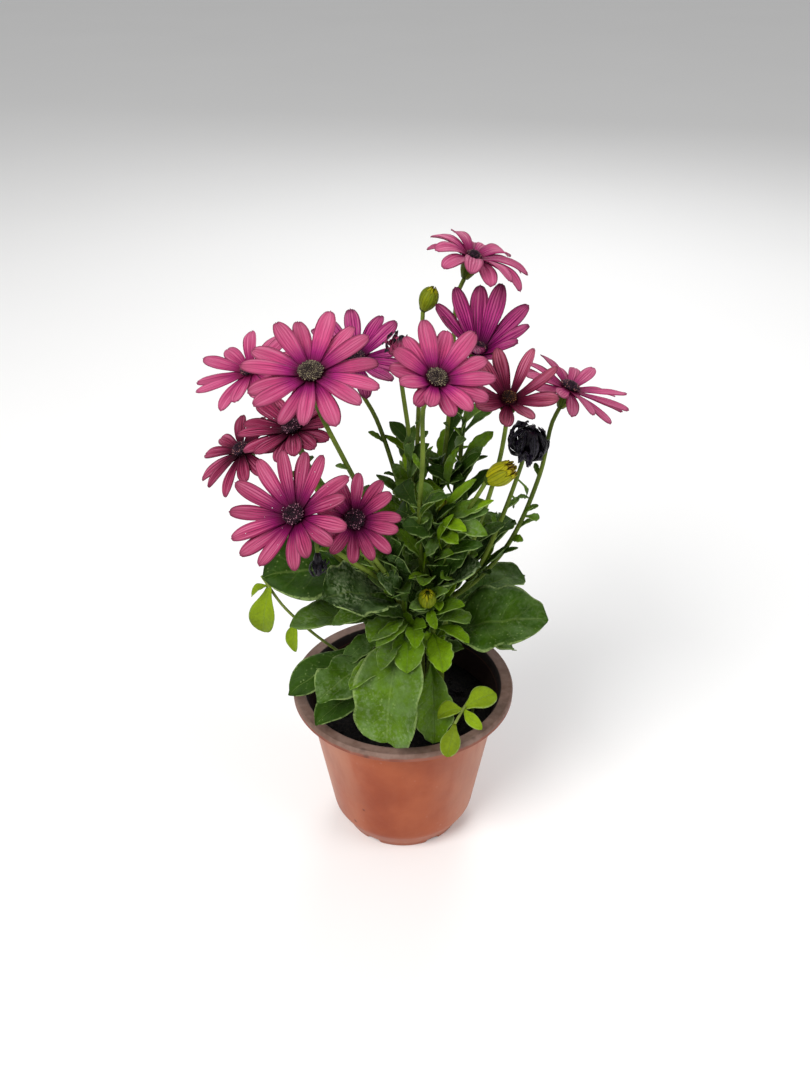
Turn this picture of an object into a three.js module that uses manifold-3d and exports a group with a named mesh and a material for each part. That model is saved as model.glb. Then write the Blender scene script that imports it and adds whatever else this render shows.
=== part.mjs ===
// A potted African daisy: a terracotta-coloured nursery pot filled with soil, and a bushy plant
// of leafy shoots that carry open blooms, green buds and withered heads, with two small seedlings.
// Lengths are millimetres and angles degrees. +Z is up, -Y is the front, and the origin is the
// middle of the pot's foot. A turn is counted from the front towards the right.

import * as THREE from "three";
import { mergeVertices } from "three/addons/utils/BufferGeometryUtils.js";
import Module from "manifold-3d";

const wasm = await Module();
wasm.setup();

// Pot: outline radii and heights, the foot's notches and the drain holes
const RIM_RADIUS = 60;
const RIM_TOP = 92;
const RIM_UNDERSIDE = 86.8;
const MOUTH_RADIUS = 53.4;
const INNER_SHOULDER = 84;
const NECK_RADIUS = 52.4;
const BEND_RADIUS = 39.8;
const BEND_HEIGHT = 13;
const FOOT_RADIUS = 33;
const SKIRT_HEIGHT = 3.4;
const FOOT_RING = 5.4;
const PAD_RADIUS = 9;
const RECESS = 1.8;
const WALL = 1.2;
const FLOOR_TOP = 4.2;
const NOTCHES = 6;
const NOTCH_WIDTH = 6;
const DRAIN_RADIUS = 3;
const DRAIN_CIRCLE = 19;
const ROUND_SIDES = 28;

// Soil and the holes that the stems stand in
const SOIL_TOP = 74;
const CRUMB = 1.4;
const SOIL_RINGS = [0.93, 0.62, 0.3];
const HOLE_BOTTOM = 56;
const SEEDLING_DEPTH = 4;
const HOLE_ROOM = 0.8;
const HOLE_SIDES = 6;
const GAP = 0.35;

// Petals, discs, stalks and leaves
const HUB_RADIUS = 3.4;
const HUB_THICKNESS = 1.2;
const PETAL_THICKNESS = 0.7;
const PETAL_WIDTH = 9.2;
const PETAL_SPREAD = 4;
const PETAL_ROLL = 7;
const PETAL_JITTER = 0.9;
const PETAL_MIDDLE = [0.36, 0.76];
const PETAL_WIDEST = 0.8;
const PETAL_END = 0.44;
const DISC_DOME = [[1, 1.9], [0.8, 3.2], [0.4, 4.1]];
const DISC_FOOT = 2.7;
const FLORET_RELIEF = 0.3;
const DISC_SIDES = 9;
const TUBE_SIDES = 5;
const TUBE_STEP = 40;
const TENDRIL_STEP = 18;
const TRUNK_RADIUS = 2.8;
const STALK_RADIUS = 1.2;
const TENDRIL_RADIUS = 0.8;
const CALYX_RADIUS = 4.3;
const CALYX_LENGTH = 9;
const NECK_LENGTH = 20;
const WITHERED_RAY_WIDTH = 3.2;
const LEAF_THICKNESS = 0.8;
const LEAF_FOLD = [0.12, 0.34];
const OVAL_ARCH = 0.12;
const GOLDEN_TURN = 137.5;

// Outlines as shares of the length and of the width. The toothed leaf widens at each tooth.
const LEAF_OUTLINE = [
  [0, 0.12], [0.2, 0.18], [0.4, 0.62], [0.55, 0.98], [0.6, 0.84], [0.76, 1], [0.83, 0.76], [1, 0.12],
];
const OVAL_OUTLINE = [[0, 0.16], [0.35, 0.45], [0.65, 1], [1, 0.2]];
const WITHERED_OUTLINE = [[0, 0.25], [0.25, 0.42], [0.6, 0.4], [0.9, 0.2]];

const FINISHES = {
  pot: { color: 0xb0603f, roughness: 0.62 },
  soil: { color: 0x1b1512, roughness: 1 },
  green: { color: 0x3f6b22, roughness: 0.6 },
  petal: { color: 0xc0508a, roughness: 0.55 },
  disc: { color: 0x3a2c38, roughness: 0.8 },
  withered: { color: 0x1c1322, roughness: 0.8 },
  seedling: { color: 0x8fae1e, roughness: 0.55 },
};

// Each bloom: where its hub is, the way it faces (turn, and rise above level), its radius, its
// petals and the angle of the first, how far they rise out of the flower's plane and curl back,
// how much longer they are to the right and to the top, and the disc's radius.
const BLOOMS = [
  {
    head: [33, 34, 318], turn: 85, rise: 70, radius: 27.5,
    petals: 14, first: 8, cup: 4, curl: 12, skew: [0, -0.04], disc: 4.2,
  },
  {
    head: [36, 16, 279], turn: 12, rise: 68, radius: 31,
    petals: 11, first: 16, cup: 46, curl: 2, skew: [0, 0], disc: 3.8,
  },
  {
    head: [14, -58, 297], turn: 28, rise: 58, radius: 23.5,
    petals: 14, first: 4, cup: 16, curl: 6, skew: [0.12, 0.1], disc: 4.6,
  },
  {
    head: [-38, -54, 298], turn: -4, rise: 63, radius: 29.5,
    petals: 15, first: 10, cup: 10, curl: 8, skew: [0.04, 0], disc: 5.6,
  },
  {
    head: [-72, 8, 272], turn: -48, rise: 64, radius: 26,
    petals: 13, first: 0, cup: 5, curl: 8, skew: [-0.16, 0], disc: 4.4,
  },
  {
    head: [-22, 8, 278], turn: -2, rise: 64, radius: 25.5,
    petals: 13, first: 12, cup: 14, curl: 12, skew: [0.06, 0.05], disc: 4.2,
  },
  {
    head: [-50, -25, 258], turn: -42, rise: 69, radius: 25,
    petals: 15, first: 6, cup: 10, curl: 10, skew: [-0.16, 0], disc: 4.6,
  },
  {
    head: [-76, -12, 240], turn: -57, rise: 58, radius: 24.5,
    petals: 12, first: 0, cup: 4, curl: 16, skew: [-0.03, -0.03], disc: 4.2,
  },
  {
    head: [-46, -74, 241], turn: -26, rise: 50, radius: 29.5,
    petals: 15, first: 2, cup: 15, curl: 6, skew: [-0.05, 0.04], disc: 4.6,
  },
  {
    head: [-21, -64, 233], turn: 8, rise: 40, radius: 20.5,
    petals: 14, first: 5, cup: 12, curl: 6, skew: [0.08, 0], disc: 4.6,
  },
  {
    head: [47, -32, 276], turn: -2, rise: 58, radius: 24.5,
    petals: 9, first: 20, cup: 34, curl: 4, skew: [0.06, 0.1], disc: 3.4,
  },
  {
    head: [80, 12, 259], turn: 88, rise: 69, radius: 29,
    petals: 14, first: 9, cup: 7, curl: 8, skew: [0, 0.02], disc: 4.8,
  },
];

// Withered heads: dark, closed and hanging, with a few shrunken petals each
const WITHERED = [
  { head: [59, 0, 232], turn: 20, rise: 70, length: 15, width: 12, rays: 7 },
  { head: [-39, -51, 208], turn: 0, rise: -80, length: 12, width: 7, rays: 5 },
  { head: [-1, -16, 289], turn: 0, rise: 80, length: 10, width: 9, rays: 5 },
];

// Leafy shoots. The trunk stands in its own hole in the soil. A stalk leaves the trunk's top and
// ends in a bloom, a bud or a withered head. A leaf grows from a point of the trunk (a share of its
// length) to its tip, and a spray sets leaves round the trunk or a stalk within a sector.
const SHOOTS = {
  shoot_left: {
    trunk: [[1, 3, HOLE_BOTTOM], [1, 3, 82], [-2, 2, 118], [-8, 1, 146]],
    stalks: [
      { bloom: 4, knots: [[-30, 10, 188], [-55, 17, 231]] },
      { bloom: 6, knots: [[-22, -5, 176], [-38, -14, 211]] },
      { bloom: 7, knots: [[-26, 0, 164], [-50, -4, 196]] },
    ],
    leaves: [
      { at: 0.97, tip: [-70, -18, 172], droop: 70, width: 34, twist: -35 },
      { at: 0.8, tip: [-57, -26, 148], droop: 50, width: 19, twist: -15 },
      { at: 0.6, tip: [-60, -24, 102], droop: 60, width: 20, twist: -15 },
      { at: 0.88, tip: [-54, 18, 162], droop: 60, width: 26, twist: 10 },
      { at: 0.7, tip: [-48, 34, 126], droop: 70, width: 24, twist: 0 },
    ],
    sprays: [
      { stalk: 0, from: 0.06, to: 0.42, count: 6, turns: [-150, -70], length: 30, width: 12, seed: 3 },
      { stalk: 1, from: 0.1, to: 0.35, count: 3, turns: [-100, -60], length: 24, width: 10, seed: 4 },
    ],
  },
  shoot_front: {
    trunk: [[5, -6, HOLE_BOTTOM], [5, -6, 82], [4, -10, 118], [3, -15, 146]],
    stalks: [
      { bloom: 3, knots: [[-8, -28, 200], [-25, -44, 250]] },
      { bloom: 8, knots: [[-3, -22, 166], [-27, -46, 202]] },
      { bloom: 9, knots: [[-3, -26, 170], [-16, -42, 203]] },
      { withered: 1, knots: [[-3, -24, 164], [-20, -40, 202], [-34, -49, 219]] },
    ],
    leaves: [
      { at: 0.97, tip: [-9, -60, 97], droop: 105, width: 36, twist: 0 },
      { at: 0.96, tip: [-38, -48, 180], droop: 60, width: 30, twist: -25 },
      { at: 0.7, tip: [-43, -47, 116], droop: 60, width: 24, twist: -10 },
      { at: 0.58, tip: [-45, -44, 99], droop: 40, width: 18, twist: -10 },
      { at: 0.72, tip: [-26, -54, 130], droop: 40, width: 14, twist: 0 },
      { at: 0.97, tip: [-8, -36, 196], droop: 40, width: 15, twist: 0 },
      { at: 0.92, tip: [2, -50, 137], droop: 60, width: 17, twist: 0 },
      { at: 0.97, tip: [-16, -50, 156], droop: 50, width: 15, twist: 0 },
    ],
    sprays: [
      { stalk: 0, from: 0.1, to: 0.4, count: 4, turns: [-60, -5], length: 28, width: 13, seed: 5 },
    ],
  },
  shoot_middle: {
    trunk: [[14, -5, HOLE_BOTTOM], [14, -5, 82], [15, -9, 118], [15, -13, 146]],
    stalks: [
      { bloom: 2, knots: [[8, -24, 198], [9, -42, 252]] },
      { bloom: 10, knots: [[34, -12, 188], [45, -18, 236]] },
      { bud: [44, -34, 239], lean: [0.7, -0.2, 0.7], size: 7, knots: [[22, -20, 191]] },
      { bud: [13, -30, 169], lean: [0, -0.4, 0.9], size: 4.2, knots: [[14, -22, 158]] },
      { bud: [19, -20, 214], lean: [0.3, -0.2, 0.9], size: 3.4, knots: [[17, -18, 186]] },
    ],
    leaves: [
      { at: 0.66, tip: [16, -47, 89], droop: 80, width: 23, twist: 0 },
      { at: 0.8, tip: [73, -26, 152], droop: 32, width: 36, twist: 32 },
      { at: 0.85, tip: [20, -43, 132], droop: 70, width: 15, twist: 0 },
      { at: 0.95, tip: [33, -34, 156], droop: 40, width: 15, twist: 10 },
      { at: 0.97, tip: [38, -26, 184], droop: 50, width: 19, twist: 20 },
    ],
    sprays: [
      { stalk: 4, from: 0.15, to: 0.85, count: 8, turns: [-15, 110], length: 28, width: 13, seed: 7 },
      { stalk: 0, from: 0.15, to: 0.45, count: 3, turns: [0, 50], length: 26, width: 12, seed: 8 },
    ],
  },
  shoot_right: {
    trunk: [[20, 4, HOLE_BOTTOM], [20, 4, 82], [21, 4, 118], [24, 4, 146]],
    stalks: [
      { bloom: 1, knots: [[27, 8, 196], [30, 14, 241]] },
      { bloom: 11, knots: [[36, 3, 154], [54, 4, 178], [68, 6, 218]] },
      { withered: 0, knots: [[35, 0, 158], [48, 0, 191]] },
    ],
    leaves: [
      { at: 0.7, tip: [61, 16, 102], droop: 70, width: 24, twist: 10 },
      { at: 0.85, tip: [66, 26, 144], droop: 60, width: 26, twist: 10 },
      { at: 0.6, tip: [44, 42, 116], droop: 60, width: 22, twist: 0 },
      { at: 0.95, tip: [50, 40, 176], droop: 50, width: 22, twist: 0 },
      { at: 0.97, tip: [57, 8, 190], droop: 20, width: 17, twist: 0 },
      { at: 0.9, tip: [54, 0, 179], droop: 20, width: 13, twist: 0 },
    ],
    sprays: [
      { stalk: 0, from: 0.15, to: 0.72, count: 6, turns: [50, 120], length: 27, width: 11, seed: 12 },
      { stalk: 1, from: 0.3, to: 0.5, count: 2, turns: [60, 100], length: 12, width: 3, seed: 13 },
    ],
  },
  shoot_back: {
    trunk: [[10, 12, HOLE_BOTTOM], [10, 12, 82], [9, 13, 118], [8, 14, 146]],
    stalks: [
      { bloom: 0, knots: [[18, 16, 196], [24, 28, 254]] },
      { bloom: 5, knots: [[0, 12, 198], [-13, 14, 244]] },
      { bud: [12, 22, 300], lean: [0.4, 0, 1], size: 5, knots: [[7, 13, 216], [8, 17, 258]] },
      { withered: 2, knots: [[5, 6, 196], [4, -6, 236]] },
    ],
    leaves: [
      { at: 0.9, tip: [-14, 62, 164], droop: 60, width: 32, twist: 0 },
      { at: 0.75, tip: [20, 64, 136], droop: 60, width: 32, twist: 0 },
      { at: 0.6, tip: [0, 54, 104], droop: 50, width: 22, twist: 0 },
      { at: 0.97, tip: [30, 50, 182], droop: 50, width: 24, twist: 0 },
    ],
    sprays: [
      { stalk: 2, from: 0.08, to: 0.52, count: 6, turns: [150, 290], length: 28, width: 12, seed: 15 },
      { stalk: 0, from: 0.1, to: 0.5, count: 5, turns: [120, 170], length: 26, width: 12, seed: 16 },
    ],
  },
};

// Seedlings: a thin stem from the soil and small oval leaves, each from its root to its tip
const SEEDLINGS = {
  seedling_left: {
    stem: [
      [-20, 8, SOIL_TOP - SEEDLING_DEPTH], [-20, 8, 82], [-28, 8, 98], [-48, -4, 128], [-62, -8, 148],
      [-72, -6, 165],
    ],
    leaves: [
      { root: [-68, -7, 158], tip: [-70, -12, 136], width: 11 },
      { root: [-69, -7, 160], tip: [-78, -9, 156], width: 6 },
      { root: [-55, -6, 138], tip: [-58, -12, 124], width: 7 },
    ],
  },
  seedling_right: {
    stem: [
      [38, -10, SOIL_TOP - SEEDLING_DEPTH], [38, -10, 84], [36, -26, 102], [31, -40, 106], [26, -54, 108],
    ],
    leaves: [
      { root: [32, -38, 105], tip: [45, -32, 110], width: 11 },
      { root: [31, -41, 106], tip: [19, -46, 108], width: 10 },
      { root: [31, -40, 106], tip: [37, -50, 102], width: 7 },
      { root: [26, -54, 108], tip: [23, -64, 96], width: 10 },
    ],
  },
};

// A number from 0 to 1 that depends only on its seed and its place in a series.
function draw(seed, place) {
  const wave = Math.sin(seed * 127.1 + place * 311.7) * 43758.5453;
  return wave - Math.floor(wave);
}

function radians(degrees) {
  return THREE.MathUtils.degToRad(degrees);
}

function point(xyz) {
  return new THREE.Vector3(...xyz);
}

// Where a start point has got to after a list of directions, each with its length.
function offset(start, ...steps) {
  const place = start.clone();
  for (const [direction, length] of steps) {
    place.addScaledVector(direction, length);
  }
  return place;
}

// The triangles of a skin over rings that hold equally many points, listed counter-clockwise as
// seen from the last ring. A blade's under face is split into triangles like its upper face.
function skin(rings, { startCap = true, endCap = true, blade = false } = {}) {
  const corners = [];
  const count = rings[0].length;
  const last = rings[rings.length - 1];
  for (let row = 0; row < rings.length - 1; row++) {
    for (let i = 0; i < count; i++) {
      const next = (i + 1) % count;
      const [a, b, c, d] = [rings[row][i], rings[row][next], rings[row + 1][i], rings[row + 1][next]];
      if (blade && i > count / 2) {
        corners.push(a, b, c, b, d, c);
      } else {
        corners.push(a, b, d, a, d, c);
      }
    }
  }
  for (let i = 1; i < count - 1; i++) {
    if (startCap) {
      corners.push(rings[0][0], rings[0][i + 1], rings[0][i]);
    }
    if (endCap) {
      corners.push(last[0], last[i], last[i + 1]);
    }
  }
  return corners;
}

// The closed solid of a geometry, once the vertices that its faces share are merged.
function solidOf(geometry) {
  const bare = geometry.clone();
  bare.deleteAttribute("normal");
  bare.deleteAttribute("uv");
  const merged = mergeVertices(bare, 1e-4);
  const vertProperties = merged.attributes.position.array;
  const triVerts = new Uint32Array(merged.index.array);
  return new wasm.Manifold(new wasm.Mesh({ numProp: 3, vertProperties, triVerts }));
}

function solidOfSkin(corners) {
  return solidOf(new THREE.BufferGeometry().setFromPoints(corners));
}

function geometryOf(solid) {
  const mesh = solid.getMesh();
  return new THREE.BufferGeometry()
    .setAttribute("position", new THREE.BufferAttribute(new Float32Array(mesh.vertProperties), 3))
    .setIndex(new THREE.BufferAttribute(new Uint32Array(mesh.triVerts), 1));
}

function joined(solids) {
  return solids.reduce((whole, piece) => whole.add(piece));
}

// How far a strip has got along and up after a share of its length, if it starts at an angle
// above level and bends down by an even curve.
function bent(start, bend, length, share) {
  const from = radians(start);
  const turn = radians(Math.abs(bend) < 0.5 ? 0.5 : bend);
  const angle = from - turn * share;
  return {
    along: (length * (Math.sin(from) - Math.sin(angle))) / turn,
    up: (length * (Math.cos(angle) - Math.cos(from))) / turn,
    angle,
  };
}

// A direction from its turn and its rise above level, with the level direction to its right and
// the one that completes a right-handed set.
function facing(turn, rise) {
  const [t, r] = [radians(turn), radians(rise)];
  const out = point([Math.sin(t) * Math.cos(r), -Math.cos(t) * Math.cos(r), Math.sin(r)]);
  const right = point([Math.cos(t), Math.sin(t), 0]);
  const up = out.clone().cross(right);
  return { out, right, up };
}

// One bloom's petals. Each grows from its own facet of the hub, so that all are one skin.
function petalsSolid(bloom, seed) {
  const { out, right, up } = facing(bloom.turn, bloom.rise);
  const head = point(bloom.head);
  const middle = point([0, 0, 0]);
  const step = (2 * Math.PI) / bloom.petals;
  const first = radians(bloom.first);
  const around = (angle) => offset(middle, [right, Math.cos(angle)], [up, Math.sin(angle)]);
  const rim = (k, height) => offset(head, [around(first + (k - 0.5) * step), HUB_RADIUS], [out, height]);
  const corners = [];
  for (let k = 0; k < bloom.petals; k++) {
    const angle = first + k * step + radians(PETAL_JITTER) * (2 * draw(seed, k) - 1);
    const direction = around(angle);
    const side = out.clone().cross(direction);
    const longer = 1 + bloom.skew[0] * Math.cos(angle) + bloom.skew[1] * Math.sin(angle);
    const length = (bloom.radius - HUB_RADIUS) * longer * (0.95 + 0.1 * draw(seed, k + 20));
    const alone = bloom.petals % 2 === 1 && k === bloom.petals - 1;
    const lift = alone ? 0 : PETAL_SPREAD * (k % 2 === 0 ? -1 : 1);
    const roll = radians(PETAL_ROLL) * (2 * draw(seed, k + 40) - 1);
    const level = Math.cos(radians(bloom.cup));
    const room = (share) => 2 * (HUB_RADIUS + length * share * level) * Math.tan(step / 2);
    const width = Math.min(PETAL_WIDTH, 0.92 * room(PETAL_WIDEST));
    const [near, part] = PETAL_MIDDLE;
    const widths = [
      [near, Math.min(part * width, 0.93 * room(near))],
      [PETAL_WIDEST, width],
      [1, PETAL_END * width],
    ];
    const rings = [[rim(k + 1, -HUB_THICKNESS), rim(k + 1, 0), rim(k, 0), rim(k, -HUB_THICKNESS)]];
    for (const [share, across] of widths) {
      const { along, up: high, angle: slope } = bent(bloom.cup + lift, bloom.curl, length, share);
      const upper = offset(middle, [direction, -Math.sin(slope)], [out, Math.cos(slope)]);
      const tilted = offset(middle, [side, Math.cos(roll)], [upper, Math.sin(roll)]);
      const normal = offset(middle, [upper, Math.cos(roll)], [side, -Math.sin(roll)]);
      const spine = offset(head, [direction, HUB_RADIUS + along], [out, high - HUB_THICKNESS / 2]);
      rings.push(flatRing(spine, tilted, normal, across, PETAL_THICKNESS));
    }
    corners.push(...skin(rings, { startCap: false, blade: true }));
    corners.push(head, rim(k, 0), rim(k + 1, 0));
    corners.push(offset(head, [out, -HUB_THICKNESS]), rim(k + 1, -HUB_THICKNESS), rim(k, -HUB_THICKNESS));
  }
  return solidOfSkin(corners);
}

// Four corners of a flat blade's cross section: right under, right upper, left upper, left under.
function flatRing(middle, side, normal, width, thickness) {
  return [[1, -1], [1, 1], [-1, 1], [-1, -1]].map(([across, above]) =>
    offset(middle, [side, (across * width) / 2], [normal, (above * thickness) / 2]));
}

// The domed disc of florets, which rests on the hub. Every other floret of a ring stands out.
function discSolid(bloom) {
  const { out, right, up } = facing(bloom.turn, bloom.rise);
  const head = point(bloom.head);
  const profile = [[DISC_FOOT, GAP], ...DISC_DOME.map(([share, height]) => [bloom.disc * share, height])];
  const rings = profile.map(([radius, height], row) =>
    Array.from({ length: DISC_SIDES }, (_, i) => {
      const angle = (2 * Math.PI * i) / DISC_SIDES;
      const bump = row > 0 && (i + row) % 2 === 0 ? FLORET_RELIEF : 0;
      const reach = radius + bump;
      const across = [right, reach * Math.cos(angle)];
      return offset(head, across, [up, reach * Math.sin(angle)], [out, height + bump]);
    }),
  );
  return solidOfSkin(skin(rings));
}

// A tube along a curve, whose radius is a function of the share of its length.
function tubeRings(curve, radiusAt, sides, step) {
  const steps = Math.max(3, Math.round(curve.getLength() / step));
  const frames = curve.computeFrenetFrames(steps, false);
  const rings = [];
  for (let i = 0; i <= steps; i++) {
    const centre = curve.getPointAt(i / steps);
    rings.push(ring(centre, frames.normals[i], frames.binormals[i], radiusAt(i / steps), sides));
  }
  return { rings, normal: frames.normals[steps] };
}

function ring(centre, normal, binormal, radius, sides, zigzag = 0) {
  const axis = normal.clone().cross(binormal);
  return Array.from({ length: sides }, (_, i) => {
    const angle = (2 * Math.PI * i) / sides;
    const drop = i % 2 === 0 ? 0 : -zigzag;
    const across = [normal, radius * Math.cos(angle)];
    return offset(centre, across, [binormal, radius * Math.sin(angle)], [axis, drop]);
  });
}

// A stalk from its first point to a calyx or a bud whose mouth is at the tip and faces along the axis.
function stalkSolid(points, tip, axis, profile) {
  const foot = profile[0][0];
  const curve = new THREE.CatmullRomCurve3([...points, offset(tip, [axis, -foot])], false, "centripetal");
  const taper = (share) => STALK_RADIUS * (1.25 - 0.25 * share);
  const { rings, normal } = tubeRings(curve, taper, TUBE_SIDES, TUBE_STEP);
  const across = normal.clone().addScaledVector(axis, -normal.dot(axis)).normalize();
  const binormal = axis.clone().cross(across);
  for (const [below, radius, zigzag] of profile.slice(1)) {
    rings.push(ring(offset(tip, [axis, -below]), across, binormal, radius, TUBE_SIDES, zigzag));
  }
  return { solid: solidOfSkin(skin(rings)), curve };
}

// Distances below the mouth, radii and tooth depths of a bloom's calyx, and of a bud of a size.
function calyxProfile(mouth) {
  return [[mouth + CALYX_LENGTH, 0], [mouth + 6, 2.6, 0], [mouth + 3, 3.8, 0], [mouth, CALYX_RADIUS, 1.2]];
}

function budProfile(size) {
  const shape = [[1.3, 0], [1, 0.55], [0.4, 0.85], [-0.4, 0.75], [-1.1, 0.3]];
  return shape.map(([below, radius]) => [size * below, size * radius, 0]);
}

// A leaf from its root to its tip: a narrow stalk, then a broad blade with a few coarse teeth.
function leafSolid(root, tip, { droop, width, twist, seed }) {
  const span = tip.clone().sub(root);
  const level = Math.hypot(span.x, span.y);
  const turn = THREE.MathUtils.radToDeg(Math.atan2(span.x, -span.y));
  const half = radians(droop) / 2;
  const length = (span.length() * half) / Math.sin(half);
  const start = THREE.MathUtils.radToDeg(Math.atan2(span.z, level)) + droop / 2;
  const { out: ahead, right } = facing(turn, 0);
  const sky = point([0, 0, 1]);
  const zero = point([0, 0, 0]);
  const rings = LEAF_OUTLINE.map(([share, part], row) => {
    const reached = bent(start, droop, length, share);
    const roll = radians(twist) * share;
    const upper = offset(zero, [ahead, -Math.sin(reached.angle)], [sky, Math.cos(reached.angle)]);
    const side = offset(zero, [right, Math.cos(roll)], [upper, Math.sin(roll)]);
    const normal = offset(zero, [upper, Math.cos(roll)], [right, -Math.sin(roll)]);
    const middle = offset(root, [ahead, reached.along], [sky, reached.up]);
    const wide = (width * part) / 2;
    const thick = row < 2 ? LEAF_THICKNESS : LEAF_THICKNESS / 2;
    const fold = (place) => wide * THREE.MathUtils.lerp(...LEAF_FOLD, draw(seed, row + place));
    const [near, far] = [fold(10), fold(30)];
    return [
      offset(middle, [side, wide], [normal, near - thick]),
      offset(middle, [side, wide], [normal, near + thick]),
      offset(middle, [normal, thick]),
      offset(middle, [side, -wide], [normal, far + thick]),
      offset(middle, [side, -wide], [normal, far - thick]),
      offset(middle, [normal, -thick]),
    ];
  });
  return solidOfSkin(skin(rings, { blade: true }));
}

// A small plain oval leaf of four corners to a ring.
function ovalSolid(root, tip, width) {
  const ahead = tip.clone().sub(root);
  const length = ahead.length();
  ahead.normalize();
  const side = point([0, 0, 1]).cross(ahead).normalize();
  const upper = ahead.clone().cross(side);
  const rings = OVAL_OUTLINE.map(([share, part]) => {
    const arch = length * OVAL_ARCH * Math.sin(Math.PI * share);
    const middle = offset(root, [ahead, length * share], [upper, arch]);
    return flatRing(middle, side, upper, width * part, LEAF_THICKNESS);
  });
  return solidOfSkin(skin(rings, { blade: true }));
}

function stalkOf(stalk, start) {
  const knots = [start, ...stalk.knots.map(point)];
  if (stalk.bud) {
    return stalkSolid(knots, point(stalk.bud), point(stalk.lean).normalize(), budProfile(stalk.size));
  }
  const carried = stalk.bloom === undefined ? WITHERED[stalk.withered] : BLOOMS[stalk.bloom];
  const { out } = facing(carried.turn, carried.rise);
  if (stalk.bloom === undefined) {
    return stalkSolid(knots, point(carried.head), out, [[8, 0], [4, 1.4, 0], [GAP, 1.8, 0]]);
  }
  const neck = offset(point(carried.head), [out, -NECK_LENGTH]);
  return stalkSolid([...knots, neck], point(carried.head), out, calyxProfile(HUB_THICKNESS + GAP + 0.3));
}

// One shoot: its trunk, stalks and leaves, fused.
function shootSolid(shoot, seed) {
  const trunk = new THREE.CatmullRomCurve3(shoot.trunk.map(point), false, "centripetal");
  const { rings } = tubeRings(trunk, (share) => TRUNK_RADIUS * (1 - 0.25 * share), TUBE_SIDES, TUBE_STEP);
  const pieces = [solidOfSkin(skin(rings))];
  const start = trunk.getPointAt(0.97);
  const stalks = shoot.stalks.map((stalk) => stalkOf(stalk, start));
  pieces.push(...stalks.map((stalk) => stalk.solid));
  shoot.leaves.forEach((leaf, i) => {
    pieces.push(leafSolid(trunk.getPointAt(leaf.at), point(leaf.tip), { ...leaf, seed: seed + i }));
  });
  for (const spray of shoot.sprays) {
    const { curve } = stalks[spray.stalk];
    for (let i = 0; i < spray.count; i++) {
      const share = spray.from + ((spray.to - spray.from) * i) / Math.max(1, spray.count - 1);
      const sector = spray.turns[1] - spray.turns[0];
      const turn = spray.turns[0] + ((i * GOLDEN_TURN) % 360) * (sector / 360);
      const { out } = facing(turn, 30 + 20 * draw(spray.seed, i));
      const root = curve.getPointAt(share);
      const tip = offset(root, [out, spray.length * (0.8 + 0.4 * draw(spray.seed, i + 9))]);
      pieces.push(ovalSolid(root, tip, spray.width));
    }
  }
  return joined(pieces);
}

// A withered head: a small core with shrunken petals that fold over it.
function witheredSolid(head, seed) {
  const { out, right, up } = facing(head.turn, head.rise);
  const seat = offset(point(head.head), [out, GAP]);
  const core = WITHERED_OUTLINE.map(([share, part]) =>
    ring(offset(seat, [out, head.length * share]), right, up, head.width * part, TUBE_SIDES));
  const pieces = [solidOfSkin(skin(core))];
  for (let k = 0; k < head.rays; k++) {
    const angle = (2 * Math.PI * (k + 0.5 * draw(seed, k))) / head.rays;
    const direction = offset(point([0, 0, 0]), [right, Math.cos(angle)], [up, Math.sin(angle)]);
    const root = offset(seat, [out, head.length * 0.2], [direction, head.width * 0.2]);
    const reach = head.width * (0.5 + 0.35 * draw(seed, k + 20));
    const tip = offset(root, [direction, reach], [out, head.length * (0.9 * draw(seed, k + 40) - 0.15)]);
    pieces.push(ovalSolid(root, tip, WITHERED_RAY_WIDTH));
  }
  return joined(pieces);
}

function seedlingSolid(seedling) {
  const stem = new THREE.CatmullRomCurve3(seedling.stem.map(point), false, "centripetal");
  const { rings } = tubeRings(stem, () => TENDRIL_RADIUS, 4, TENDRIL_STEP);
  const pieces = [solidOfSkin(skin(rings))];
  for (const leaf of seedling.leaves) {
    pieces.push(ovalSolid(point(leaf.root), point(leaf.tip), leaf.width));
  }
  return joined(pieces);
}

// Lathe profile points are a radius and a height, and lathe axes are turned to stand along +Z.
function latheSolid(profile, sides) {
  const points = profile.map(([radius, height]) => new THREE.Vector2(radius, height));
  const geometry = new THREE.LatheGeometry(points, sides);
  geometry.rotateX(Math.PI / 2);
  return solidOf(geometry);
}

// The pot's outer radius between its bend and its neck.
function bodyRadius(height) {
  const share = (height - BEND_HEIGHT) / (RIM_UNDERSIDE - BEND_HEIGHT);
  return BEND_RADIUS + (NECK_RADIUS - BEND_RADIUS) * share;
}

function uprightCylinder(radius, low, high, sides, [x, y]) {
  const geometry = new THREE.CylinderGeometry(radius, radius, high - low, sides);
  geometry.rotateX(Math.PI / 2);
  geometry.translate(x, y, (low + high) / 2);
  return solidOf(geometry);
}

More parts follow.
